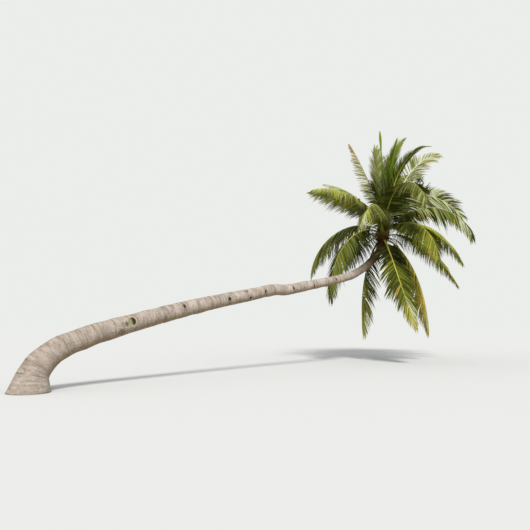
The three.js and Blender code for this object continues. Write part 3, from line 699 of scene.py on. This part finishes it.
class Trunk:
    """The trunk's middle line and thickness, by length along it from the ground."""

    def __init__(self):
        self.line = curve_through(stacked(TRUNK[:, 0], 0, TRUNK[:, 1]), LINE_SAMPLES)
        steps = np.linalg.norm(np.diff(self.line, axis=0), axis=1)
        self.lengths = np.concatenate([[0], np.cumsum(steps)])
        self.length = float(self.lengths[-1])
        stations = shares(len(TRUNK))
        self.radii = np.interp(shares(LINE_SAMPLES), stations, TRUNK[:, 2] / 2)
        self.ways = unit(np.gradient(self.line, axis=0))

    def section(self, s):
        """Centres, directions and radii of the sections at some lengths."""
        centre, way = (rows_at(s, self.lengths, rows) for rows in (self.line, self.ways))
        way = mix(UP, way, ramp(s, 0, FOOT_LEVELLED)[:, None])
        way = mix(way, HEART_AXIS, ramp(s, self.length - TOP_LEVELLED, self.length)[:, None])
        return centre, unit(way), np.interp(s, self.lengths, self.radii)

    def length_at(self, out):
        return float(np.interp(out, self.line[:, 0], self.lengths))


def scar_lengths(trunk, rng):
    """Lengths of the leaf scars along the trunk, closer together towards its top."""
    scars = [FIRST_SCAR]
    while scars[-1] < trunk.length - UNSCARRED_TOP:
        gap = mix(*SCAR_GAP, scars[-1] / trunk.length)
        scars.append(scars[-1] + gap * (1 + rng.uniform(-SCAR_GAP_SPREAD, SCAR_GAP_SPREAD)))
    return np.array(scars[:-1])


def ring_lengths(trunk, scars):
    """Lengths at which the trunk's mesh has a ring: round each scar and notch, and in between."""
    at_notch = np.arange(-NOTCH_RING_REACH, NOTCH_RING_REACH, NOTCH_RING_GAP)
    wanted = [scars + offset for offset in SCAR_RINGS]
    wanted += [trunk.length_at(notch[0]) + at_notch for notch in NOTCHES]
    wanted = np.sort(np.concatenate([[0, trunk.length], *wanted]))
    wanted = wanted[(wanted >= 0) & (wanted <= trunk.length)]
    kept = [0.0]
    for s in wanted[1:]:
        gap = s - kept[-1]
        if gap < LEAST_RING_GAP and s < trunk.length:
            continue
        extra = int(gap / RING_GAP)
        kept.extend(kept[-1] + gap * (n + 1) / (extra + 1) for n in range(extra + 1))
    return np.array(kept)


def scar_waves(trunk, scars, rng, s, turn):
    """How far points stray along the trunk, so that its scars aren't level rings."""
    waves = np.zeros((len(s), len(turn)))
    for times, reach in enumerate(SCAR_WAVE, 1):
        amount = rng.uniform(LEAST_WAVE, 1, len(scars)) * reach
        phase = rng.uniform(0, 2 * math.pi, len(scars))
        for wave in (np.cos, np.sin):
            strayed = np.interp(s, scars, amount * wave(phase), left=0, right=0)
            waves += strayed[:, None] * wave(times * turn)
    return waves * np.minimum(1, np.minimum(s, trunk.length - s) / WAVE_FADE)[:, None]


def trunk_marks(trunk, s, turn):
    """How far points lie in a notch, on its lit sill, on its healed rim, and in a scrape or stain."""
    radius = trunk.section(s)[2]
    hollow, sill, rim, scrape = (np.zeros((len(s), len(turn))) for _ in range(4))

    def offsets(out_at, raised, wide):
        """How far points are from a mark's middle, along the trunk and across it, in its widths."""
        off = np.angle(np.exp(1j * (turn - math.radians(180 - raised))))
        return (s - trunk.length_at(out_at))[:, None] / wide, off * radius[:, None] / wide

    def apart(along, across, mouth=(1, 1)):
        return np.hypot(along / mouth[0], across / mouth[1])

    for notch in NOTCHES:
        along, across = offsets(*notch)
        size = notch[2] / NOTCHES[0][2]
        off = apart(along, across, NOTCH_MOUTH)
        hollow = np.maximum(hollow, smooth(NOTCH_WALL * (1 - off)))
        lit = smooth(NOTCH_SILL[0] - NOTCH_SILL[1] * along)
        sill = np.maximum(sill, lit * (off < 1) * size)
        rim = np.maximum(rim, smooth(1 - np.abs(off - 1) / NOTCH_RIM) * size)
        scrape = np.maximum(scrape, smooth(STAIN_REACH - apart(along, across, STAIN_MOUTH)) * (1 - size))
    for mark in SCRAPES:
        scrape = np.maximum(scrape, smooth(SCRAPE_EDGE * (1 - apart(*offsets(*mark)))))
    return hollow, sill, rim, scrape


def make_trunk():
    """The trunk's mesh: scars, lumps and notches on the solid's own shape."""
    trunk = Trunk()
    rng = np.random.default_rng(SEEDS["scars"])
    scars = scar_lengths(trunk, rng)
    s = ring_lengths(trunk, scars)
    front = np.linspace(180 - FRONT_HALF, 180 + FRONT_HALF, FRONT_COLUMNS, endpoint=False)
    back = np.linspace(180 + FRONT_HALF, 540 - FRONT_HALF, BACK_COLUMNS, endpoint=False)
    turn = np.radians(np.concatenate([front, back]))
    waves = scar_waves(trunk, scars, rng, s, turn)

    depth = rng.uniform(*SCAR_DEPTH, len(scars))
    nearest = np.abs(s[:, None] - scars).argmin(1)
    apart = s - scars[nearest]
    relief = SCAR_LIP["high"] * hill(apart - SCAR_LIP["above"], SCAR_LIP["wide"])
    relief -= depth[nearest] * hill(apart, SCAR_GROOVE)
    place = stacked(NOISE_RADIUS * np.cos(turn), NOISE_RADIUS * np.sin(turn), s[:, None])
    fade = soft_noise(place, SCAR_FADE["size"], SEEDS["scar fade"])
    strength = np.clip(SCAR_FADE["usual"] + SCAR_FADE["spread"] * fade, *SCAR_FADE["range"])
    lumps = LUMP_HEIGHT * soft_noise(place, LUMP_SIZE, SEEDS["lumps"])
    lumps += GRAIN_HEIGHT * soft_noise(place, GRAIN_SIZE, SEEDS["grain"])
    from_foot = ramp(s, 0, SMOOTH_FOOT)[:, None]
    from_top = ramp(s, trunk.length, trunk.length - SMOOTH_TOP)[:, None]

    hollow, sill, rim, scrape = trunk_marks(trunk, s, turn)
    push = relief[:, None] * strength * ramp(s, *SCARLESS_FOOT)[:, None]
    push += lumps * from_foot * from_top - SCRAPE_DEPTH * scrape
    push = (push * (1 - hollow) - NOTCH_DEPTH * hollow + RIM_HEIGHT * rim * (1 - hollow)) * from_foot

    centre, way, radius = trunk.section(s)
    out = around(turn, SIDEWAYS, np.cross(way, SIDEWAYS)[:, None])
    wide = radius[:, None]
    points = centre[:, None] + out * (wide + push)[..., None] + way[:, None] * waves[..., None]
    points[0, :, 2] = 0
    young = ramp(s, *(trunk.length - below for below in YOUNG_BARK))[:, None] * np.ones_like(waves)
    skin = Skin()
    skin.add_tube(points, turn, s[:, None], owner="trunk", fields={
        "unbent": stacked(np.cos(turn) * wide, np.sin(turn) * wide, s[:, None] + waves),
        # scar: the dark line of painted shade along each scar's groove
        "scar": hill(apart, SCAR_SHADE)[:, None] * np.clip(strength, 0, 1),
        # under: the mask of the side facing down, toned partly by damp staining and partly by painted shade
        "under": ramp(out[..., 2], *UNDERSIDE_STAIN_AND_SHADE), "young": young,
        # hollow and sill: the notch's depth, with painted shade inside it and painted light on its lower
        # sill
        "hollow": hollow, "sill": sill, "rim": rim, "scrape": scrape,
    })
    skin.build("trunk_bark", bark_finish(), "bark")


def heart_radius(share):
    return np.interp(share, *HEART_PROFILE)


def heart_point(share, turn, radius):
    """A point round the heart's axis at a share of its length and a turn in degrees."""
    share, turn, radius = np.broadcast_arrays(share, turn, radius)
    out = around(np.radians(turn), SIDEWAYS, np.cross(HEART_AXIS, SIDEWAYS))
    return HEART_FOOT + HEART_AXIS * (share * HEART_LENGTH)[..., None] + out * radius[..., None]


def heading_turn(heading):
    """The turn round the heart, counted from +Y, that faces a compass heading."""
    way = level(float(heading))
    return math.degrees(math.atan2(float(way @ np.cross(HEART_AXIS, SIDEWAYS)), float(way[1])))


def bent_line(about, at):
    """Centres, directions, sides and normals of a limb that leaves the heart and bends down.

    about: where it leaves, its slopes and its length. at: the shares of its length that are wanted.
    """
    tier_share = mix(LOWEST_TIER, HIGHEST_TIER, about["tier"])
    heading, swing, roll = about["heading"], about.get("swing", 0), about.get("roll", 0)

    def directions(s):
        slope = np.radians(mix(about["rise"], about["fall"], s ** about.get("bend", 1)))[:, None]
        return level(heading + swing * s * s) * np.cos(slope) + UP * np.sin(slope)

    foot = mix(HEART_FOOT, HEART_TIP, tier_share)
    foot = foot + level(float(heading)) * FOOT_REACH * heart_radius(tier_share)
    steps = directions((np.arange(LINE_STEPS) + 0.5) / LINE_STEPS) * about["length"] / LINE_STEPS
    line = np.vstack([foot, foot + np.cumsum(steps, axis=0)])
    centre, direction = rows_at(at, shares(LINE_STEPS + 1), line), directions(at)
    side = level(heading + swing * at * at - 90)
    turn = np.radians(roll * np.sqrt(at))[:, None]
    side = turned(side, np.cross(direction, side), turn)[0]
    return centre, direction, side, unit(np.cross(side, direction))


def rib_width(tier, share):
    """A rib's width at some shares of its length."""
    foot = mix(mix(*FOOT_WIDTH, tier), RIB_WIDTH[0], share / PETIOLE_SHARE)
    blade = mix(*RIB_WIDTH, (share - PETIOLE_SHARE) / (1 - PETIOLE_SHARE))
    return np.where(share < PETIOLE_SHARE, foot, blade)


def add_rib(skin, frond, owner):
    """A frond's rib, from its grooved foot to its thin end."""
    share = shares(RIB_RINGS)
    centre, _, side, normal = bent_line(frond, share * RIB_SHARE)
    wide = rib_width(frond["tier"], share)[:, None]
    turn = np.linspace(0, 2 * math.pi, RIB_SIDES, endpoint=False)
    across, rise = np.cos(turn), np.sin(turn)
    groove = GROOVE_DEPTH * hill(across, GROOVE_WIDTH) * ramp(share, GROOVE_ENDS, 0)[:, None]
    height = np.where(rise > 0, RIB_TOP * rise * (1 - groove), (1 - RIB_TOP) * rise)
    points = centre[:, None] + side[:, None] * (wide / 2 * across)[..., None]
    points = points + normal[:, None] * (wide * RIB_DEPTH_SHARE * height)[..., None]
    skin.add_tube(points, turn, share[:, None] * frond["length"], owner=owner)


def bunched(rng, places, kind):
    """A spread for each leaflet: partly shared by its bunch, partly its own."""
    by_bunch, by_one = SPREAD[kind]
    bunches = rng.normal(size=CLUMPS + 1)
    shared = np.interp(places, shares(CLUMPS + 1), bunches)
    return by_bunch * shared + by_one * rng.normal(size=len(places))


def leaflet_shape(q):
    """How long a leaflet is at q of the way from the first to the tip, as a share of the longest."""
    swell = mix(FIRST_LEAFLET, 1, np.sin(math.pi / 2 * np.minimum(q / FULL_FROM, 1)))
    return swell * (1 - TIP_LOSS * np.maximum(0, (q - FULL_TO) / (1 - FULL_TO)) ** TIP_LOSS_BEND)


def leaflet_lines(frond, hand, rng):
    """Where the leaflets on one side stand, their middle lines, lengths and two ways that face them."""
    tier, is_open = frond["tier"], frond.get("open", 1)
    count = round(frond["length"] * RIB_SHARE * (1 - FIRST_AT) / LEAFLET_GAP)
    q = (np.arange(count) + 0.5 + rng.uniform(-LEAFLET_STRAY, LEAFLET_STRAY, count)) / count
    rib_share = mix(FIRST_AT, 1, q)
    centre, direction, side, normal = bent_line(frond, rib_share * RIB_SHARE)
    splay = mix(*SPLAY, q ** SPLAY_BEND) * is_open
    splay = splay + bunched(rng, q, "splay") * min(1, is_open * FREE_SPLAY)
    lift = frond.get("lift", mix(*LIFT, tier)) + bunched(rng, q, "lift")
    splay, lift = np.radians(splay)[:, None], np.radians(lift)[:, None]
    outward = side * hand * np.cos(lift) + normal * np.sin(lift)
    run = unit(direction * np.cos(splay) + outward * np.sin(splay))
    wide = rib_width(tier, rib_share)[:, None]
    root = centre + side * hand * wide * LEAFLET_ROOT[0] + normal * wide * LEAFLET_ROOT[1]
    full = frond["length"] * LEAFLET_LENGTH * frond.get("leaf", 1) * leaflet_shape(q)
    length = full * (1 + bunched(rng, q, "length"))
    sag = frond.get("sag", mix(*SAG, tier)) * np.clip(1 + bunched(rng, q, "sag"), *SAG_RANGE)
    scale = (length / np.hypot(1, sag / 2))[:, None, None]
    t = shares(LEAFLET_STEPS + 1)
    sagging = (sag[:, None] * (t * t / 2 + LEAFLET_LIMP * t ** 3 / 3))[..., None]
    middle = root[:, None] + scale * (run[:, None] * t[:, None] - UP * sagging)
    middle = middle + scale * direction[:, None] * (LEAFLET_SWEEP * t * t)[:, None]
    ways = (normal, outward) if is_open < ON_EDGE else (direction, normal)
    return q, middle, length, (way[:, None] for way in ways)


def leaflet_rings(frond, hand, rng):
    """Where the leaflets on one side stand, rings of three points along each one, and its length."""
    q, middle, length, (wide_way, facing) = leaflet_lines(frond, hand, rng)
    tangent = unit(np.gradient(middle, axis=1))
    across = unit(wide_way - tangent * (wide_way * tangent).sum(-1, keepdims=True))
    ridge = np.cross(across, tangent)
    ridge = ridge * np.sign((ridge[:, :1] * facing).sum(-1, keepdims=True))
    twist = np.radians(frond.get("twist", LEAFLET_TWIST) + bunched(rng, q, "twist"))[:, None, None]
    across, ridge = turned(across, ridge, twist)
    fold = math.radians(mix(YOUNG_FOLD, LEAFLET_FOLD, ramp(frond.get("open", 1), *OPENING)))
    width = LEAFLET_WIDTH * frond.get("wide", 1) * np.clip(length / FULL_WIDTH_AT, *WIDTH_RANGE) ** 0.5
    outline = np.interp(shares(LEAFLET_STEPS + 1), *LEAFLET_OUTLINE)
    half = (width[:, None] / 2 * outline)[..., None]
    down = ridge * half * math.sin(fold)
    left = middle - across * half * math.cos(fold) - down
    right = middle + across * half * math.cos(fold) - down
    return q, np.stack([left, middle, right], 2), length


def leaflet_part(rings, first, last, lengths):
    """Points, faces, places in a texture and ridges of leaflets, from one ring to another."""
    count, pointed = len(rings), last == LEAFLET_STEPS
    body = rings[:, first:last + (0 if pointed else 1)]
    steps = body.shape[1]
    points = body.reshape(count, -1, 3)
    along = shares(LEAFLET_STEPS + 1)[first:first + steps]
    uvs = stacked(np.array([0, 0.5, 1]), along[:, None] * lengths[:, None, None]).reshape(count, -1, 2)
    ridges = np.tile([False, True, False], steps)
    quads = [(3 * i + c, 3 * i + c + 1, 3 * i + c + 4, 3 * i + c + 3)
             for i in range(steps - 1) for c in (0, 1)]
    tris = []
    if pointed:
        points = np.concatenate([points, rings[:, -1, 1][:, None]], 1)
        uvs = np.concatenate([uvs, stacked(0.5, lengths)[:, None]], 1)
        ridges = np.append(ridges, True)
        tris = [(3 * steps - 3 + c, 3 * steps - 2 + c, 3 * steps) for c in (0, 1)]
    starts = (np.arange(count) * points.shape[1])[:, None, None]
    quads = np.array(quads).reshape(1, -1, 4) + starts
    tris = np.array(tris, int).reshape(1, -1, 3) + starts
    return points, quads, tris, uvs, np.tile(ridges, count)


def sprayed(frond, q, rng):
    """A colour for each leaflet: neighbours in a spray share one, and they change along the frond."""
    palettes = [frond[key].split() for key in ("base", "middle", "end")]
    colours = []
    for start in range(0, len(q), SPRAY):
        place = 2 * q[start] + rng.normal() * SPRAY_STRAY
        palette = palettes[int(np.clip(round(place), 0, 2))]
        colours.extend([palette[rng.integers(len(palette))]] * SPRAY)
    return np.array(colours[:len(q)])


def add_leaflets(skins, frond, owner, number):
    """A frond's leaflets, dealt out to the skins by colour."""
    rng = np.random.default_rng(SEEDS["leaves"] + number)
    cut = LEAFLET_STEPS - WITHERED_RINGS
    for hand, keep in zip((-1, 1), frond.get("keep", (1, 1))):
        q, rings, lengths = leaflet_rings(frond, hand, rng)
        colours = sprayed({**frond, **frond.get("far", {})} if hand < 0 else frond, q, rng)
        left = rng.random(len(q)) < keep
        dry = rng.random(len(q)) < frond.get("dry", DRY)
        withered = np.array([WITHERED.get(colour, "straw") for colour in colours])
        for colour in LEAF_COLOURS:
            for chosen, first, last in (
                (left & ~dry & (colours == colour), 0, LEAFLET_STEPS),
                (left & dry & (colours == colour), 0, cut),
                (left & dry & (withered == colour), cut, LEAFLET_STEPS),
            ):
                if chosen.any():
                    part = leaflet_part(rings[chosen], first, last, lengths[chosen])
                    skins[colour].add(*part, owner=owner)


def make_fronds():
    """All fronds: leaflets in one piece for each colour, and ribs the same."""
    leaves = {colour: Skin() for colour in LEAF_COLOURS}
    ribs = {colour: Skin() for colour in RIB_COLOURS}
    for number, frond in enumerate(FRONDS):
        owner = f"frond_{number + 1:02d}"
        add_rib(ribs[frond["rib"]], frond, owner)
        add_leaflets(leaves, frond, owner, number)
    for colour, skin in leaves.items():
        skin.build(f"leaflets_{colour}", leaf_finish(f"leaf_{colour}", LEAF_COLOURS[colour]), "leaf")
    for colour, skin in ribs.items():
        root = RIB_ROOT if colour in ("pale", "brown") else None
        end = RIB_END if colour == "yellow" else None
        finish = rib_finish(f"rib_{colour}", RIB_COLOURS[colour], root=root, end=end)
        skin.build(f"ribs_{colour}", finish, "leaf")


def make_heart_core():
    """The heart's fibrous core."""
    share = shares(HEART_RINGS)[:, None]
    turn = np.linspace(0, 360, HEART_COLUMNS, endpoint=False)[None]
    radius = heart_radius(share)
    plain = heart_point(share, turn, radius)
    for (high, size, stretch), seed in zip(HEART_RELIEF, SEEDS["heart"]):
        radius = radius + high * soft_noise(plain * stretch, size, seed)
    core = Skin()
    core.add_tube(heart_point(share, turn, radius), owner="heart")
    core.build("heart_core", fibre_finish("heart_fibre"), "leaf_base_fibre")


def slab_faces(rows, columns):
    """Quads that close a thin slab between an outer and an inner grid of points."""
    size = rows * columns
    i, j = (axis.ravel() for axis in np.meshgrid(np.arange(rows - 1), np.arange(columns - 1), indexing="ij"))
    a = i * columns + j
    outer = np.stack([a, a + 1, a + columns + 1, a + columns], -1)
    inner = outer[:, ::-1] + size
    loop = [*range(columns), *range(2 * columns - 1, size, columns),
            *range(size - 2, size - columns - 1, -1), *range(size - 2 * columns, 0, -columns)]
    walls = [(b, a, a + size, b + size) for a, b in zip(loop, loop[1:] + loop[:1])]
    return np.concatenate([outer, inner, np.array(walls)])


def where_free(frond):
    """The share of a frond at which its middle leaves the heart, and how high up the heart that is."""
    near = np.linspace(0, NEAR_SHARE, NEAR_SAMPLES)
    from_foot = bent_line(frond, near)[0] - HEART_FOOT
    up = from_foot @ HEART_AXIS
    off = np.linalg.norm(from_foot - up[:, None] * HEART_AXIS, axis=1)
    free = np.argmax(off > heart_radius(up / HEART_LENGTH))
    return near[free], up[free] / HEART_LENGTH


def leaf_base(frond, above):
    """A broad leaf base, which clasps the heart and narrows upwards under its petiole."""
    rows, columns = BASE_GRID
    free, height = where_free(frond)
    drop = shares(rows)[:, None]
    across = np.linspace(-1, 1, columns)[None]
    thick = BASE_THICK * (1 - BASE_THIN * across ** 2)
    held = ramp(drop, BASE_LEAVES, 1)

    place = np.maximum(free + above / frond["length"] * (1 - 2 * drop), 0)
    centre, _, side, normal = (part[:, None] for part in bent_line(frond, place[:, 0]))
    wide = rib_width(frond["tier"], place / RIB_SHARE)
    half = wide * mix(*BASE_WIDE, ramp(drop, 0, BASE_WIDENS))
    under = wide * RIB_DEPTH_SHARE * (1 - RIB_TOP) * np.sqrt(1 - BASE_ROUND * across ** 2) + BASE_CLEAR
    middle = centre + side * (half * across)[..., None]

    share = np.clip(height - BASE_BELOW * ramp(drop, BASE_DROPS, 1), *ON_HEART)
    radius = heart_radius(share)
    turn = heading_turn(frond["heading"]) - np.degrees(mix(half, BASE_HALF, held) * across / radius)
    bulge = BASE_OFF[0] + BASE_OFF[1] * (1 - across ** 2) * (1 - held)

    clasp = ramp(drop, BASE_LEAVES, BASE_LIES)[..., None]
    points = []
    for inset in (0, thick):
        on_petiole = middle - normal * (under - inset)[..., None]
        on_heart = heart_point(share, turn, radius + bulge + thick - inset)
        points.append(mix(on_petiole, on_heart, clasp).reshape(-1, 3))
    uvs = stacked(across / 2 + 0.5, drop).reshape(-1, 2)
    return np.concatenate(points), slab_faces(rows, columns), (), np.tile(uvs, (2, 1))


def make_leaf_bases():
    """A leaf base under each frond."""
    skin = Skin()
    for frond in FRONDS:
        skin.add(*leaf_base(frond, BASE_ABOVE))
    skin.build("leaf_bases", rib_finish("leaf_base", BASE_COLOUR, foot=BASE_FOOT), "leaf_base_fibre")


def add_limb(skin, line, radii, sides, knobs, seed, owner=None):
    """A tapering limb along a line of points. knobs: how far it swells here and there, as a share."""
    count = len(line)
    way = unit(np.gradient(line, axis=0))
    start = unit(np.cross(way, NO_LIMB))[:, None]
    turn = np.linspace(0, 2 * math.pi, sides, endpoint=False)
    swell = 1 + knobs * np.random.default_rng(seed).random((count, sides))
    radius = np.linspace(*radii, count)[:, None] * swell
    out = around(turn, start, np.cross(way[:, None], start))
    along = shares(count)[:, None]
    skin.add_tube(line[:, None] + out * radius[..., None], turn, along, owner=owner)


def make_stubs():
    """Stubs of fallen fronds, each with its base."""
    skin = Skin()
    for number, (heading, rise, length) in enumerate(STUBS):
        stub = dict(tier=STUB_TIER, heading=heading, rise=rise, fall=rise - STUB_DROOP, length=length)
        skin.add(*leaf_base(stub, length * STUB_BASE))
        line = bent_line(stub, shares(STUB_RINGS))[0]
        add_limb(skin, line, STUB_RADIUS, sides=10, knobs=0.25, seed=number)
    skin.build("leaf_base_stubs", fibre_finish("base_brown"), "leaf_base_fibre")


def make_loose_fibres():
    """Loose fibres and ragged shreds that stand and hang round the heart."""
    skin = Skin()
    rng = np.random.default_rng(SEEDS["fibres"])
    t = shares(FIBRE_STEPS + 1)
    quads = [(2 * i, 2 * i + 1, 2 * i + 3, 2 * i + 2) for i in range(FIBRE_STEPS)]
    outs, round_heart, up_heart = FIBRE_WAY
    for count, lengths, halves in FIBRES:
        for _ in range(count):
            share = FIBRES_FROM + rng.random() ** FIBRES_CROWD
            root = heart_point(share, rng.uniform(0, 360), heart_radius(share) * FIBRE_ROOT)
            out = unit(root - HEART_FOOT - HEART_AXIS * share * HEART_LENGTH)
            over = np.cross(HEART_AXIS, out)
            way = out * rng.uniform(*outs) + over * rng.normal() * round_heart
            way = unit(way + HEART_AXIS * rng.normal() * up_heart)
            hang = UP * (rng.uniform(*FIBRE_HANG) * t * t)[:, None]
            line = root + rng.uniform(*lengths) * (way * t[:, None] - hang)
            half = rng.uniform(*halves) * (1 - FIBRE_TAPER * t)[:, None]
            across = unit(np.cross(np.gradient(line, axis=0), out + FIBRE_TURN * rng.normal(size=3)))
            skin.add(np.stack([line - across * half, line + across * half], 1), quads)
    skin.build("loose_fibres", fibre_finish("fibre"), "leaf_base_fibre")


def make_spear():
    """The spear: pleated leaflets still pressed together, slightly parted by the tip."""
    tilt = math.radians(SPEAR_TILT)
    way = np.array([math.sin(tilt), 0, math.cos(tilt)])
    share = shares(SPEAR_RINGS)[:, None]
    turn = np.linspace(0, 2 * math.pi, SPEAR_SIDES, endpoint=False)[None]
    radius = np.interp(share, *SPEAR_PROFILE)
    pleats = 1 - SPEAR_PLEAT_DEPTH * (0.5 + 0.5 * np.cos(SPEAR_PLEATS * turn + SPEAR_TWIST * share))
    broad = level(float(SPEAR_FACES))
    flatter, *reach = SPEAR_FLAT
    flat = 1 - flatter * ramp(share, *reach)[..., None]
    out = around(turn, broad, flat * np.cross(way, broad))
    points = HEART_TIP + way * (share * SPEAR_LENGTH)[..., None] + out * (radius * pleats)[..., None]
    points[0] -= HEART_AXIS * SPEAR_SUNK
    skin = Skin()
    skin.add_tube(points, turn * SPEAR_PLEATS, share * SPEAR_LENGTH, owner="spear")
    skin.build("spear_leaf", leaf_finish("spear", SPEAR_COLOUR, 0.4, 2.0, SPEAR_FOOT), "spear_leaf")


def add_sprig(skin, stalk, seat, fine, owner, seed):
    """A sprig that leaves its stalk to one side and sags. seat: where it leaves and which way it goes."""
    t = shares(SPRIG_RINGS)
    at, run = seat
    length = stalk["length"] * SPRIG_LENGTH * (FINE_LENGTH if fine else 1)
    scale = length / math.hypot(1, SPRIG_SAG / 2)
    line = at + scale * (run * t[:, None] - UP * (SPRIG_SAG * t * t / 2)[:, None])
    radii = SPRIG_RADIUS * (FINE_RADIUS if fine else 1)
    add_limb(skin, line, radii, sides=7, knobs=0.5, seed=seed, owner=owner)


def make_flower_stalks():
    """Branched flower stalks: two dry and one fresh, each with sprigs to both sides."""
    skins = {"dry": Skin(), "fresh": Skin()}
    for number, (owner, about) in enumerate(STALKS.items()):
        stalk = {**about, "tier": STALK_TIER}
        skin = skins[about["kind"]]
        line = bent_line(stalk, shares(STALK_RINGS))[0]
        add_limb(skin, line, STALK_RADIUS, sides=10, knobs=0.12, seed=number, owner=owner)
        count = stalk["sprigs"] * 2 - 1
        centre, direction, side, _ = bent_line(stalk, mix(*SPRIG_PLACES, shares(count)))
        for k in range(count):
            fine = k % 2
            hand = 1 if (k // 2 + fine) % 2 else -1
            run = unit(direction[k] + side[k] * SPRIG_SPREAD * hand - UP * SPRIG_DROP)
            add_sprig(skin, stalk, (centre[k], run), fine, owner, 10 * number + k)
    skins["dry"].build("flower_stalks_dry", fibre_finish("stalk_dry", 0.8), "flower_stalk")
    skins["fresh"].build("flower_stalk_fresh", rib_finish("stalk_fresh", FRESH_STALK), "flower_stalk")


def make_floor():
    """A plain pale floor."""
    mesh = bpy.data.meshes.new("floor")
    corners = [(x * FLOOR_HALF, y * FLOOR_HALF, 0) for x, y in ((-1, -1), (1, -1), (1, 1), (-1, 1))]
    mesh.from_pydata(corners, [], [(0, 1, 2, 3)])
    mesh.materials.append(Finish("floor").done(FLOOR_COLOUR, 1, 0))
    floor = placed("floor", mesh)
    floor.location.z = -FLOOR_DROP


def make_light():
    """A pale sky and one soft sun."""
    world = bpy.data.worlds.new("sky")
    world.use_nodes = True
    world.node_tree.nodes["Background"].inputs["Color"].default_value = linear(SKY)
    bpy.context.scene.world = world
    lamp = bpy.data.lights.new("sun", "SUN")
    lamp.energy = SUN_STRENGTH
    lamp.angle = math.radians(SUN_ANGLE)
    lamp.color = SUN_COLOUR
    placed("sun", lamp).rotation_euler = Vector(SUN_FROM).to_track_quat("Z", "Y").to_euler()


def make_camera():
    """The camera, where the photograph was taken from."""
    lens = bpy.data.cameras.new("camera")
    lens.sensor_width = SENSOR
    lens.lens = FOCAL_PIXELS / FRAME_PIXELS * SENSOR
    lens.clip_end = FARTHEST
    camera = placed("camera", lens)
    camera.location = CAMERA_AT
    camera.rotation_euler = [math.radians(turn) for turn in CAMERA_TURN]
    bpy.context.scene.camera = camera


make_trunk()
make_heart_core()
make_leaf_bases()
make_stubs()
make_loose_fibres()
make_fronds()
make_spear()
make_flower_stalks()
make_floor()
make_light()
make_camera()
bpy.context.scene.view_settings.view_transform = "Standard"
